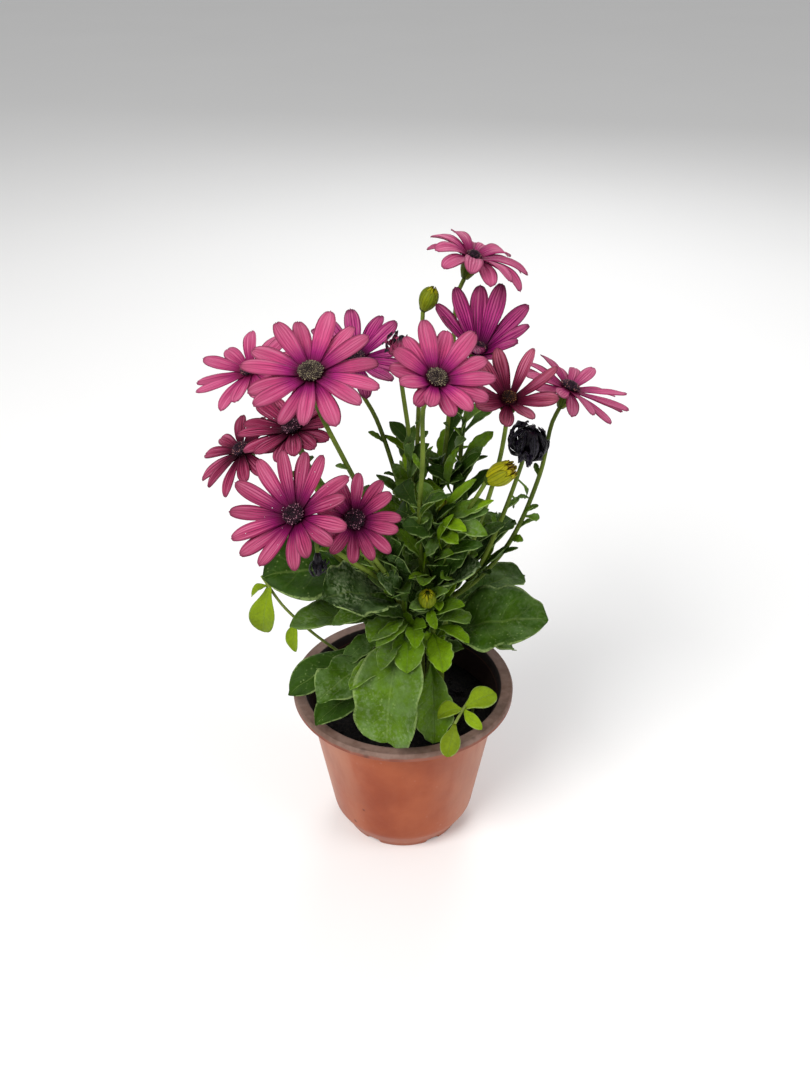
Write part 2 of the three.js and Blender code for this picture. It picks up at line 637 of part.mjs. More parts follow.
function potSolid() {
  const profile = [
    [0, 0], [PAD_RADIUS, 0], [PAD_RADIUS + 1, RECESS], [FOOT_RADIUS - FOOT_RING, RECESS],
    [FOOT_RADIUS - FOOT_RING + 0.6, 0], [FOOT_RADIUS, 0], [FOOT_RADIUS + 1, SKIRT_HEIGHT],
    [BEND_RADIUS, BEND_HEIGHT], [NECK_RADIUS, RIM_UNDERSIDE], [RIM_RADIUS, RIM_UNDERSIDE + 0.8],
    [RIM_RADIUS, RIM_TOP - 1], [RIM_RADIUS - 1.2, RIM_TOP], [MOUTH_RADIUS + 0.8, RIM_TOP],
    [bodyRadius(INNER_SHOULDER) - WALL, INNER_SHOULDER], [BEND_RADIUS - WALL, BEND_HEIGHT],
    [FOOT_RADIUS, FLOOR_TOP], [0, FLOOR_TOP],
  ];
  let pot = latheSolid(profile, ROUND_SIDES);
  for (let i = 0; i < NOTCHES; i++) {
    const turn = ((i + 0.5) * 2 * Math.PI) / NOTCHES;
    const notch = new THREE.BoxGeometry(NOTCH_WIDTH, FOOT_RING * 2, RECESS * 1.8);
    notch.translate(0, -(FOOT_RADIUS - FOOT_RING / 2), 0);
    notch.rotateZ(turn);
    pot = pot.subtract(solidOf(notch));
    const drain = [DRAIN_CIRCLE * Math.sin(turn), -DRAIN_CIRCLE * Math.cos(turn)];
    pot = pot.subtract(uprightCylinder(DRAIN_RADIUS, -1, FLOOR_TOP + 1, 8, drain));
  }
  return pot;
}

function stemHole(stemRadius, bottom, x, y) {
  return uprightCylinder(stemRadius + HOLE_ROOM, bottom - GAP, SOIL_TOP + 6, HOLE_SIDES, [x, y]);
}

// The soil fills the pot, with a crumbled top and a hole for each stem.
function soilSolid() {
  const outer = bodyRadius(SOIL_TOP) - WALL - GAP;
  const profile = [
    [0, FLOOR_TOP + GAP], [FOOT_RADIUS - 0.5, FLOOR_TOP + GAP],
    [BEND_RADIUS - WALL - GAP, BEND_HEIGHT], [outer, SOIL_TOP],
    ...SOIL_RINGS.map((share) => [outer * share, SOIL_TOP]),
    [0, SOIL_TOP],
  ];
  const points = profile.map(([radius, height]) => new THREE.Vector2(radius, height));
  const geometry = new THREE.LatheGeometry(points, ROUND_SIDES);
  geometry.rotateX(Math.PI / 2);
  const bare = geometry.clone();
  bare.deleteAttribute("normal");
  bare.deleteAttribute("uv");
  const merged = mergeVertices(bare, 1e-3);
  const places = merged.attributes.position;
  for (let i = 0; i < places.count; i++) {
    const radius = Math.hypot(places.getX(i), places.getY(i));
    if (places.getZ(i) > SOIL_TOP - 0.1 && radius < outer - 1) {
      places.setZ(i, SOIL_TOP + CRUMB * (2 * draw(21, i) - 1));
    }
  }
  let soil = solidOf(merged);
  for (const shoot of Object.values(SHOOTS)) {
    const [x, y] = shoot.trunk[0];
    soil = soil.subtract(stemHole(TRUNK_RADIUS, HOLE_BOTTOM, x, y));
  }
  for (const seedling of Object.values(SEEDLINGS)) {
    const [x, y, z] = seedling.stem[0];
    soil = soil.subtract(stemHole(TENDRIL_RADIUS, z, x, y));
  }
  return soil;
}

const plant = new THREE.Group();

function addPiece(name, solid, finish) {
  const material = new THREE.MeshStandardMaterial({ ...FINISHES[finish], metalness: 0 });
  const mesh = new THREE.Mesh(geometryOf(solid), material);
  mesh.name = name;
  plant.add(mesh);
}

addPiece("pot", potSolid(), "pot");
addPiece("soil", soilSolid(), "soil");
Object.entries(SHOOTS).forEach(([name, shoot], i) => {
  addPiece(name, shootSolid(shoot, 50 * (i + 1)), "green");
});
BLOOMS.forEach((bloom, i) => {
  const number = String(i + 1).padStart(2, "0");
  addPiece(`bloom_${number}_petals`, petalsSolid(bloom, i + 1), "petal");
  addPiece(`bloom_${number}_disc`, discSolid(bloom), "disc");
});
WITHERED.forEach((head, i) => addPiece(`withered_head_${i + 1}`, witheredSolid(head, i + 1), "withered"));
for (const [name, seedling] of Object.entries(SEEDLINGS)) {
  addPiece(name, seedlingSolid(seedling), "seedling");
}

export default plant;
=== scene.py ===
# A potted African daisy in bloom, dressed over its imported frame.
# Lengths in the tables are millimetres and angles degrees, in the frame's own axes: +Z up, -Y the
# front, and the origin under the middle of the pot. A turn is counted from the front to the right.

from collections import namedtuple
from math import atan2, cos, degrees, exp, hypot, pi, radians, sin, sqrt, tan

import bmesh
import bpy
from mathutils import Matrix, Vector, noise


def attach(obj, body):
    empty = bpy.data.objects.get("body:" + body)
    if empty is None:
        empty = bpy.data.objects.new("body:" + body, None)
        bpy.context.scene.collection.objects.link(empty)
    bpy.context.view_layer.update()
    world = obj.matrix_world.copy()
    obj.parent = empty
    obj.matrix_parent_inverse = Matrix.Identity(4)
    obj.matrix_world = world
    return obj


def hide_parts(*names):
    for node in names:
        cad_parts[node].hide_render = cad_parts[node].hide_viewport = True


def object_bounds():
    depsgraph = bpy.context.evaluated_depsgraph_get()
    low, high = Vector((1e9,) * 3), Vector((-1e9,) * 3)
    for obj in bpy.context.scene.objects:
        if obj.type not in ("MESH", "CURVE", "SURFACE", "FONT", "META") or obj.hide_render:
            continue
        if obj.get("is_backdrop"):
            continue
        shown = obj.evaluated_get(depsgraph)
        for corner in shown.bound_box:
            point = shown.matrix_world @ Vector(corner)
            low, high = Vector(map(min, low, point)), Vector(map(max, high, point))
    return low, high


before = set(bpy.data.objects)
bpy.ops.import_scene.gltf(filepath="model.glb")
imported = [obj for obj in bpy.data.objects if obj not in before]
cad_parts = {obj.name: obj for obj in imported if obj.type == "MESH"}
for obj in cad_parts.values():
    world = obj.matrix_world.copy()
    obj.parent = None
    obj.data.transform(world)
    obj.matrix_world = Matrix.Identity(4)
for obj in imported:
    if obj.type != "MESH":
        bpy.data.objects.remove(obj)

CAD_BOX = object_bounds()
noise.seed_set(1)
MM = 0.001
UP = Vector((0, 0, 1))
ZERO = Vector((0, 0, 0))

# Camera: where it stands and looks, as in the photograph
CAMERA_PLACE = (0.0011, -0.5034, 0.4953)
CAMERA_TILT = 58.17
CAMERA_LENS = 39.0
SENSOR = 36.0

# Floor and light, in metres and watts. A light's row: its place, target, size, power and colour.
FLOOR_REACH = 7
SKY_LIGHT = 0.45
LIGHTS = [
    ("key", (-0.7, -0.9, 1.3), (0, 0, 0.18), 0.9, 22, (1, 0.99, 0.97)),
    ("fill", (1.0, -0.5, 0.8), (0, 0, 0.16), 0.9, 5, (1, 1, 1)),
    ("back", (0.2, 1.1, 1.0), (0, 0, 0.2), 0.8, 6, (1, 1, 1)),
]

# Pot: outline radii and heights, the foot's notches
RIM_RADIUS = 60
RIM_TOP = 92
RIM_UNDERSIDE = 86.8
MOUTH_RADIUS = 53.4
INNER_SHOULDER = 84
NECK_RADIUS = 52.4
BEND_RADIUS = 39.8
BEND_HEIGHT = 13
BODY_SLOPE = (NECK_RADIUS - BEND_RADIUS) / (RIM_UNDERSIDE - BEND_HEIGHT)
FOOT_RADIUS = 33
SKIRT_HEIGHT = 3.4
FOOT_RING = 5.4
PAD_RADIUS = 9
RECESS = 1.8
WALL = 1.2
FLOOR_TOP = 4.2
NOTCHES = 6
NOTCH_TURN = 5.4
POT_SIDES = 144
SHARP_FROM = 38
DRAINS = 6
DRAIN_CIRCLE = 19
DRAIN_RADIUS = 3

# Soil
SOIL_TOP = 74
SOIL_RINGS = 20
CRUMBS = 420

# Petals, discs, stalks and leaves
HUB_RADIUS = 3.4
HUB_THICKNESS = 1.2
CALYX_SCALES = 13
BUD_SCALES = 9, 8
TUFT_STRIPS = 11
FLORET_DENSITY = 7
GAP = 0.35
PETAL_THICKNESS = 0.4
PETAL_SPREAD = 4
PETAL_ROLL = 8
PETAL_JITTER = 3
TRUNK_RADIUS = 2.8
STALK_RADIUS = 1.15
TENDRIL_RADIUS = 0.8
NECK_LENGTH = 20
LEAF_THICKNESS = 0.5
OVAL_ARCH = 0.12
TEETH_DEPTH = 0.08
TIP_EASE = 1.4
LEAF_FACING = Vector((-0.15, -0.6, 0.8))
GOLDEN_TURN = 137.5
TRUNK = -1
SLIMMING = 0.6
LEAFLETS = 3
LEAFLET_LENGTH = 10
LEAFLET_WIDTH = 2.8

# Outlines as shares of the length, each with a share of the width
PETAL_OUTLINE = [
    (0, 0.42), (0.2, 0.6), (0.42, 0.86), (0.6, 1), (0.74, 0.98), (0.85, 0.84), (0.93, 0.6),
    (0.98, 0.34), (1, 0.12),
]
LEAF_OUTLINE = [
    (0, 0.1), (0.2, 0.16), (0.4, 0.6), (0.56, 0.93), (0.72, 1), (0.86, 0.78), (0.95, 0.42),
    (1, 0.06),
]
BLUNT_OUTLINE = [
    (0, 0.1), (0.2, 0.2), (0.34, 0.7), (0.5, 0.96), (0.74, 1), (0.88, 0.92), (0.96, 0.72),
    (1, 0.46),
]
POINTED_OUTLINE = [
    (0, 0.1), (0.2, 0.2), (0.38, 0.74), (0.54, 1), (0.74, 0.9), (0.88, 0.6), (0.95, 0.36),
    (1, 0.04),
]
OVAL_OUTLINE = [
    (0, 0.14), (0.3, 0.34), (0.56, 0.9), (0.72, 1), (0.86, 0.84), (0.95, 0.5), (1, 0.1),
]
ROUND_OUTLINE = [
    (0, 0.16), (0.18, 0.4), (0.42, 0.9), (0.62, 1), (0.84, 0.76), (0.95, 0.42), (1, 0.12),
]

# A bloom, near its solid in the frame: its hub, the way it faces, its radius and petals, the first
# one's angle, how far they rise out of the flower's plane and curl back, how much longer they are
# to the right and to the top, the disc's radius and the petals' width. Then its petals' colours,
# its florets, how far a petal may roll about its length, and the drops of water on it.
Bloom = namedtuple(
    "Bloom", "head turn rise radius petals first cup curl skew disc width look florets roll drops",
    defaults=(PETAL_ROLL, 0))
BLOOMS = [
    Bloom((33, 34, 318), 85, 70, 28.5, 15, 8, 32, 62, (0, -0.1), 3.4, 9, "pink", "dark"),
    Bloom((36, 16, 279), 12, 68, 31, 11, 16, 46, 2, (0, 0.12), 3.8, 8.6, "plum", "dark", 12),
    Bloom((14, -58, 297), 28, 58, 23.5, 14, 4, 16, 6, (0.18, 0.1), 4.4, 8, "rose", "dusty"),
    Bloom((-38, -54, 298), -4, 63, 30.5, 15, 10, 10, 8, (0.03, 0), 5.2, 7.9, "rose", "dusty"),
    Bloom((-72, 8, 272), -48, 64, 26, 13, 0, 8, 10, (-0.16, 0), 4.2, 7.6, "pink", "dark"),
    Bloom((-22, 8, 278), -2, 64, 27.5, 13, 12, 14, 12, (0, 0.1), 4.2, 7.6, "plum", "dark", 16),
    Bloom((-50, -25, 258), -42, 69, 25, 15, 6, 10, 10, (-0.16, 0), 4.4, 7.6, "wine", "wine",
          drops=12),
    Bloom((-76, -12, 240), -57, 58, 24.5, 12, 0, 4, 18, (-0.1, -0.03), 4, 7, "wine", "dark"),
    Bloom((-46, -74, 241), -26, 50, 29.5, 15, 2, 15, 6, (-0.1, 0.04), 4.6, 6.9, "magenta", "wine",
          drops=14),
    Bloom((-21, -64, 233), 8, 40, 20.5, 14, 5, 12, 6, (0.08, 0), 4.4, 6, "magenta", "wine"),
    Bloom((47, -32, 276), -2, 58, 24.5, 9, 20, 34, 4, (0.06, 0.1), 3.2, 7, "crimson", "brown", 34),
    Bloom((80, 12, 261), 88, 69, 29.5, 17, 9, 12, 14, (0, -0.06), 4.6, 6.8, "pink", "dark"),
]

# Petal colours at the heart, round it, in the petal's middle and at its tip, as the screen shows
# them. Then how strong the dark veins and the dark tips are.
LOOKS = {
    "pink": ((106, 18, 60), (158, 42, 102), (192, 70, 120), (198, 92, 132), 0.46, 0.16),
    "rose": ((66, 8, 38), (156, 30, 108), (200, 72, 124), (190, 84, 122), 0.32, 0.2),
    "magenta": ((66, 3, 40), (128, 14, 84), (178, 56, 106), (176, 74, 108), 0.5, 0.2),
    "wine": ((40, 3, 18), (90, 9, 44), (146, 38, 78), (168, 62, 98), 0.6, 0.25),
    "plum": ((66, 5, 46), (142, 18, 104), (182, 48, 128), (174, 66, 118), 0.75, 0.6),
    "crimson": ((70, 8, 34), (112, 20, 54), (146, 44, 78), (174, 82, 104), 0.7, 0.3),
}

# The florets' colours low and high on them and of the pollen, and the leaves' by their tone
FLORETS = {
    "dark": ((20, 10, 22), (84, 48, 70), (190, 130, 120)),
    "dusty": ((40, 28, 30), (118, 104, 88), (168, 160, 120)),
    "wine": ((16, 3, 14), (74, 26, 52), (210, 150, 170)),
    "brown": ((34, 16, 14), (100, 56, 36), (170, 120, 70)),
}
LEAF_SHADES = [
    (0, (28, 54, 4)), (0.25, (48, 80, 6)), (0.5, (88, 122, 20)), (0.75, (110, 150, 14)),
    (1, (140, 178, 18)),
]
SEEDLING_SHADES = [(0, (102, 118, 16)), (0.5, (124, 146, 20)), (1, (144, 176, 26))]

# A dead head: its foot, the way it faces, its length and width, its crumpled petals, and whether
# some of their colour is left
Withered = namedtuple("Withered", "head turn rise length width rays wilting", defaults=(False,))
WITHERED = [
    Withered((59, 0, 232), 20, 70, 15, 12, 36),
    Withered((-39, -51, 208), 0, -80, 12, 5, 14),
    Withered((-1, -16, 289), 0, 80, 10, 8, 18, True),
]

# A leaf on a trunk: its place on it, its tip, how far it droops, its width and twist, and its tone
# from 0, old and dusty, to 1, fresh and bright. Then the depth and number of its teeth and its
# outline. A leaf's tone, here and in the small, spray and fill leaves, is partly its age and dust
# and partly painted light: it is set higher on leaves that sit in the shade of the mass.
Leaf = namedtuple("Leaf", "at tip droop width twist tone teeth lobes outline",
                  defaults=(TEETH_DEPTH, None, LEAF_OUTLINE))

# Leafy shoots as in the frame. Spray rows are: the stalk, where the leaves start and end on it,
# their number, the turns between which they point, their length, width and seed. Small leaves are:
# the stalk or trunk, the place on it, the tip, the width and the tone. Fill rows are: the stalk or
# trunk, where it starts and ends, the number, the length and the width.
LEFT = dict(
    trunk=[(1, 3, 56), (1, 3, 82), (-2, 2, 118), (-8, 1, 146)],
    stalks=[
        dict(bloom=4, knots=[(-30, 10, 188), (-55, 17, 231)]),
        dict(bloom=6, knots=[(-22, -5, 176), (-38, -14, 211)]),
        dict(bloom=7, knots=[(-26, 0, 164), (-50, -4, 196)]),
    ],
    leaves=[
        Leaf(0.97, (-70, -18, 172), 70, 40, -35, 0.14, 0.1, 3.4),
        Leaf(0.8, (-57, -26, 148), 50, 19, -15, 0.42),
        Leaf(0.6, (-60, -24, 102), 60, 20, -15, 0.22, 0.02),
        Leaf(0.88, (-54, 18, 162), 60, 26, 10, 0.25),
        Leaf(0.7, (-48, 34, 126), 70, 24, 0, 0.3),
    ],
    sprays=[
        (0, 0.06, 0.42, 6, (-150, -70), 30, 12, 3),
        (1, 0.1, 0.35, 3, (-100, -60), 24, 10, 4),
    ],
    small=[
        (TRUNK, 0.9, (-35, -30, 156), 12, 0.4), (TRUNK, 0.75, (-34, -24, 128), 12, 0.3),
        (0, 0.62, (-44, 8, 226), 3.5, 0.5), (1, 0.5, (-24, -14, 204), 4, 0.5),
    ],
    fill=[
        (TRUNK, 0.5, 1, 12, 28, 12), (0, 0.02, 0.34, 7, 24, 9), (1, 0.02, 0.3, 4, 20, 8),
    ],
)
FRONT = dict(
    trunk=[(5, -6, 56), (5, -6, 82), (4, -10, 118), (3, -15, 146)],
    stalks=[
        dict(bloom=3, knots=[(-8, -28, 200), (-25, -44, 250)]),
        dict(bloom=8, knots=[(-3, -22, 166), (-27, -46, 202)]),
        dict(bloom=9, knots=[(-3, -26, 170), (-16, -42, 203)]),
        dict(withered=1, knots=[(-3, -24, 164), (-20, -40, 202), (-34, -49, 219)]),
    ],
    leaves=[
        Leaf(0.97, (-8, -58, 99), 105, 34, 6, 0.46, 0.08, 4, BLUNT_OUTLINE),
        Leaf(0.96, (-38, -48, 180), 60, 34, -25, 0.06, 0.14),
        Leaf(0.7, (-43, -47, 116), 60, 25, -10, 0.3, 0.3, 4.4),
        Leaf(0.58, (-45, -44, 99), 40, 18, -10, 0.22, 0.03),
        Leaf(0.72, (-26, -54, 130), 40, 14, 0, 0.6),
        Leaf(0.97, (-8, -36, 196), 40, 15, 0, 0.12),
        Leaf(0.92, (2, -50, 137), 60, 17, 0, 0.68),
        Leaf(0.97, (-16, -50, 156), 50, 15, 0, 0.5),
    ],
    sprays=[
        (0, 0.1, 0.4, 4, (-60, -5), 28, 13, 5),
    ],
    small=[
        (TRUNK, 0.95, (-9, -52, 154), 9, 0.66), (TRUNK, 0.97, (-1, -40, 176), 10, 0.4),
        (3, 0.15, (-12, -36, 187), 13, 0.1), (0, 0.12, (1, -38, 177), 10, 0.35),
        (0, 0.3, (-7, -30, 205), 12, 0.25), (TRUNK, 0.9, (6, -48, 152), 10, 0.7),
        (TRUNK, 0.97, (-22, -34, 170), 12, 0.3), (TRUNK, 0.8, (-14, -52, 142), 11, 0.56),
    ],
    fill=[
        (TRUNK, 0.55, 1, 12, 27, 11), (0, 0.02, 0.3, 6, 22, 9),
    ],
)
MIDDLE = dict(
    trunk=[(14, -5, 56), (14, -5, 82), (15, -9, 118), (15, -13, 146)],
    stalks=[
        dict(bloom=2, knots=[(8, -24, 198), (9, -42, 252)]),
        dict(bloom=10, knots=[(34, -12, 188), (45, -18, 236)]),
        dict(bud=(44, -34, 239), lean=(0.8, -0.2, 0.6), size=6.4, ripe=True,
             knots=[(22, -20, 191)]),
        dict(bud=(12, -34, 170), lean=(0, -0.4, 0.9), size=5.2, tone=0.74, knots=[(14, -22, 158)]),
        dict(bud=(19, -20, 214), lean=(0.3, -0.2, 0.9), size=3.4, knots=[(17, -18, 186)]),
    ],
    leaves=[
        Leaf(0.66, (16, -47, 89), 80, 21, 0, 0.62, 0.2),
        Leaf(0.8, (73, -26, 152), 32, 42, 36, 0.27, 0.14, 3.4, POINTED_OUTLINE),
        Leaf(0.85, (20, -43, 132), 70, 14, 0, 0.86, 0.12),
        Leaf(0.95, (33, -34, 156), 40, 14, 10, 0.6),
        Leaf(0.97, (38, -26, 184), 50, 21, 20, 0.04, 0.12),
    ],
    sprays=[
        (4, 0.15, 0.85, 8, (-15, 110), 28, 13, 7),
        (0, 0.15, 0.45, 3, (0, 50), 26, 12, 8),
    ],
    small=[
        (4, 0.92, (39, -30, 220), 8, 0.5), (4, 0.86, (40, -34, 212), 10, 0.5),
        (4, 0.88, (29, -38, 213), 7, 0.85), (4, 0.8, (26, -38, 205), 8, 0.8),
        (4, 0.9, (11, -18, 228), 9, 0.4), (4, 0.84, (1, -34, 209), 13, 0.25),
        (4, 0.97, (19, -27, 225), 7, 0.85), (4, 0.95, (35, -26, 229), 5, 0.8),
        (4, 0.8, (10, -36, 198), 6, 0.4), (4, 0.55, (8, -28, 201), 9, 0.3),
        (4, 0.6, (30, -28, 192), 10, 0.3), (0, 0.5, (1, -10, 223), 12, 0.16),
        (0, 0.46, (-3, -14, 208), 12, 0.16), (0, 0.3, (3, -22, 198), 12, 0.2),
        (2, 0.5, (37, -30, 212), 5, 0.82), (2, 0.62, (42, -28, 224), 4.5, 0.85),
        (2, 0.45, (22, -34, 216), 5, 0.8), (TRUNK, 0.86, (26, -36, 167), 11, 0.68),
        (TRUNK, 0.88, (30, -40, 148), 8, 0.75), (3, 0.3, (24, -32, 173), 8, 0.5),
        (3, 0.4, (2, -38, 171), 7, 0.55), (3, 0.2, (22, -34, 181), 7, 0.6),
        (3, 0.5, (16, -42, 158), 6, 0.8), (1, 0.55, (36, -10, 205), 4, 0.5),
        (1, 0.33, (48, -6, 199), 7, 0.3),
    ],
    fill=[
        (4, 0.05, 0.85, 16, 24, 9), (TRUNK, 0.55, 1, 9, 28, 11), (0, 0.05, 0.5, 9, 22, 9),
        (2, 0.1, 0.5, 6, 18, 6), (1, 0.05, 0.3, 4, 24, 9),
    ],
)
RIGHT = dict(
    trunk=[(20, 4, 56), (20, 4, 82), (21, 4, 118), (24, 4, 146)],
    stalks=[
        dict(bloom=1, knots=[(27, 8, 196), (30, 14, 241)]),
        dict(bloom=11, knots=[(36, 3, 154), (54, 4, 178), (68, 6, 218)]),
        dict(withered=0, knots=[(35, 0, 158), (48, 0, 191)]),
    ],
    leaves=[
        Leaf(0.7, (61, 16, 102), 70, 24, 10, 0.35, 0.03),
        Leaf(0.85, (66, 26, 144), 60, 26, 10, 0.3),
        Leaf(0.6, (44, 42, 116), 60, 22, 0, 0.35),
        Leaf(0.95, (50, 40, 176), 50, 22, 0, 0.35),
        Leaf(0.97, (57, 8, 190), 20, 13, 0, 0.24, 0.02),
        Leaf(0.9, (54, 0, 179), 20, 10, 0, 0.36, 0.02),
    ],
    sprays=[
        (0, 0.15, 0.72, 6, (50, 120), 27, 11, 12),
        (1, 0.3, 0.5, 2, (60, 100), 12, 3, 13),
    ],
    small=[
        (0, 0.69, (23, -2, 257), 4.5, 0.3), (0, 0.7, (39, -4, 258), 8, 0.6),
        (0, 0.61, (29, -2, 244), 7, 0.35), (0, 0.45, (25, -8, 237), 6, 0.62),
        (0, 0.52, (37, -6, 232), 6, 0.2), (0, 0.5, (29, -4, 230), 8, 0.25),
        (0, 0.4, (31, -10, 221), 10, 0.2), (2, 0.75, (56, 6, 199), 4, 0.5),
        (2, 0.84, (63, 10, 203), 3, 0.6), (1, 0.52, (69, 4, 193), 4, 0.5),
        (1, 0.39, (61, 0, 184), 5, 0.7), (2, 0.47, (57, 10, 189), 14, 0.22),
        (1, 0.6, (57, 4, 206), 3, 0.5), (TRUNK, 0.9, (47, 12, 134), 16, 0.5),
    ],
    fill=[
        (0, 0.04, 0.55, 12, 22, 9), (TRUNK, 0.5, 1, 9, 27, 11), (1, 0.03, 0.24, 4, 20, 8),
    ],
)
BACK = dict(
    trunk=[(10, 12, 56), (10, 12, 82), (9, 13, 118), (8, 14, 146)],
    stalks=[
        dict(bloom=0, knots=[(18, 16, 196), (24, 28, 254)]),
        dict(bloom=5, knots=[(0, 12, 198), (-13, 14, 244)]),
        dict(bud=(12, 22, 302), lean=(0.45, 0, 1), size=5.4, knots=[(7, 13, 216), (8, 17, 258)]),
        dict(withered=2, knots=[(5, 6, 196), (4, -6, 236)]),
    ],
    leaves=[
        Leaf(0.9, (-14, 62, 164), 60, 32, 0, 0.3),
        Leaf(0.75, (20, 64, 136), 60, 32, 0, 0.35),
        Leaf(0.6, (0, 54, 104), 50, 22, 0, 0.3),
        Leaf(0.97, (30, 50, 182), 50, 24, 0, 0.4),
    ],
    sprays=[
        (2, 0.08, 0.52, 6, (150, 290), 28, 12, 15),
        (0, 0.1, 0.5, 5, (120, 170), 26, 12, 16),
    ],
    small=[
        (3, 0.45, (12, -12, 241), 11, 0.3), (3, 0.56, (5, -10, 251), 6, 0.35),
        (0, 0.39, (20, -6, 234), 9, 0.2), (0, 0.36, (29, -6, 222), 9, 0.2),
        (3, 0.3, (-4, -8, 218), 8, 0.25), (1, 0.4, (-10, 2, 222), 5, 0.4),
    ],
    fill=[
        (0, 0.05, 0.46, 12, 24, 9), (3, 0.05, 0.5, 10, 22, 9), (2, 0.05, 0.5, 10, 24, 9),
        (TRUNK, 0.5, 1, 12, 30, 12), (1, 0.02, 0.3, 5, 22, 9),
    ],
)
SHOOTS = {
    "shoot_left": LEFT, "shoot_front": FRONT, "shoot_middle": MIDDLE, "shoot_right": RIGHT,
    "shoot_back": BACK,
}

# Seedlings: the stem's path, and rows of a leaf's root, tip and width
SEEDLINGS = {
    "seedling_left": dict(
        stem=[(-20, 8, 70), (-20, 8, 82), (-28, 8, 98), (-48, -4, 128), (-62, -8, 148),
              (-72, -6, 165)],
        leaves=[
            ((-68, -7, 160), (-70, -12, 133), 15), ((-69, -7, 160), (-78, -9, 156), 6),
            ((-55, -6, 138), (-58, -12, 122), 8),
        ],
    ),
    "seedling_right": dict(
        stem=[(38, -10, 70), (38, -10, 84), (36, -26, 102), (31, -40, 106), (26, -54, 108)],
        leaves=[
            ((32, -38, 105), (47, -31, 111), 12), ((31, -41, 106), (17, -46, 108), 11),
            ((31, -40, 106), (39, -51, 101), 6), ((26, -54, 108), (23, -64, 95), 10),
        ],
    ),
}


# Numbers, directions and paths

def draw(seed, place):
    """A number from 0 to 1 that depends only on its seed and its place in a series."""
    return sin(seed * 127.1 + place * 311.7) * 43758.5453 % 1


def spread(seed, place, reach):
    """A seeded number from -reach to reach."""
    return reach * (2 * draw(seed, place) - 1)


def through(stops, x):
    """A smooth curve through (place, value) stops."""
    x = min(max(x, stops[0][0]), stops[-1][0])
    i = next(k for k in range(len(stops) - 1) if x <= stops[k + 1][0])

    def slope(k):
        (a, low), (b, high) = stops[max(0, k - 1)], stops[min(len(stops) - 1, k + 1)]
        return (high - low) / (b - a)

    (a, low), (b, high) = stops[i], stops[i + 1]
    t = (x - a) / (b - a)
    start, end, rise = slope(i) * (b - a), slope(i + 1) * (b - a), high - low
    square, cube = 3 * rise - 2 * start - end, start + end - 2 * rise
    return low + start * t + square * t ** 2 + cube * t ** 3


def bent(start, bend, length, share):
    """How far a strip has got along and up, and its slope, if it bends down by an even curve."""
    first = radians(start)
    turn = radians(0.5 if abs(bend) < 0.5 else bend)
    slope = first - turn * share
    along = length * (sin(first) - sin(slope)) / turn
    return along, length * (cos(slope) - cos(first)) / turn, slope


def facing(turn, rise):
    """The direction of a turn and a rise above level, with its right and its up."""
    t, r = radians(turn), radians(rise)
    out = Vector((sin(t) * cos(r), -cos(t) * cos(r), sin(r)))
    right = Vector((cos(t), sin(t), 0))
    return out, right, out.cross(right)


def standing(place, axis, right=None):
    """The matrix that puts a shape's middle at a place with its Z along an axis."""
    z = axis.normalized()
    x = (right or Vector((1, 0, 0.01))).normalized()
    y = z.cross(x).normalized()
    x = y.cross(z)
    return Matrix.Translation(place) @ Matrix((x, y, z)).transposed().to_4x4()


def seat_of(thing):
    """The place of a bloom or a dead head, the way it faces, its right and its up."""
    return Vector(thing.head), *facing(thing.turn, thing.rise)


def turned(first, second, angle):
    """Two square directions turned together, the first one towards the second."""
    return (first * cos(angle) + second * sin(angle),
            second * cos(angle) - first * sin(angle))


def around(axis, right, up, angle):
    """A direction square to an axis, at an angle from its right, and the one square to both."""
    direction = turned(right, up, angle)[0]
    return direction, axis.cross(direction)


class Path:
    """A smooth line through points, measured by the share of its length."""

    SAMPLES = 160

    def __init__(self, points):
        knots = [Vector(p) for p in points]
        knots = [2 * knots[0] - knots[1], *knots, 2 * knots[-1] - knots[-2]]
        self.spots = []
        spans = len(knots) - 3
        for i in range(self.SAMPLES + 1):
            place = spans * i / self.SAMPLES
            span = min(int(place), spans - 1)
            self.spots.append(self.between(knots[span:span + 4], place - span))
        self.lengths = [0.0]
        for a, b in zip(self.spots, self.spots[1:]):
            self.lengths.append(self.lengths[-1] + (b - a).length)

    @staticmethod
    def between(knots, t):
        """A point of the span between the second and the third knot."""
        p0, p1, p2, p3 = knots
        d0, d1, d2 = (max(1e-4, sqrt((b - a).length)) for a, b in zip(knots, knots[1:]))
        start = ((p1 - p0) / d0 - (p2 - p0) / (d0 + d1) + (p2 - p1) / d1) * d1
        end = ((p2 - p1) / d1 - (p3 - p1) / (d1 + d2) + (p3 - p2) / d2) * d1
        square = 3 * (p2 - p1) - 2 * start - end
        cube = 2 * (p1 - p2) + start + end
        return p1 + start * t + square * t * t + cube * t * t * t

    def at(self, share):
        reach = share * self.lengths[-1]
        i = next((k for k, length in enumerate(self.lengths) if length >= reach), self.SAMPLES)
        i = max(1, i)
        low, high = self.lengths[i - 1], self.lengths[i]
        return self.spots[i - 1].lerp(self.spots[i], (reach - low) / max(1e-9, high - low))

    def heading(self, share):
        return (self.at(min(1, share + 0.02)) - self.at(max(0, share - 0.02))).normalized()


# Materials

# How bright a surface is made for each 1 that the screen has to show, with these lights
LIT = 0.76


def tint(red, green, blue):
    """The colour of a surface that shows these 0 to 255 screen values in the studio's light."""
    def linear(c):
        c /= 255
        return LIT * (c / 12.92 if c <= 0.04045 else ((c + 0.055) / 1.055) ** 2.4)
    return (linear(red), linear(green), linear(blue), 1)


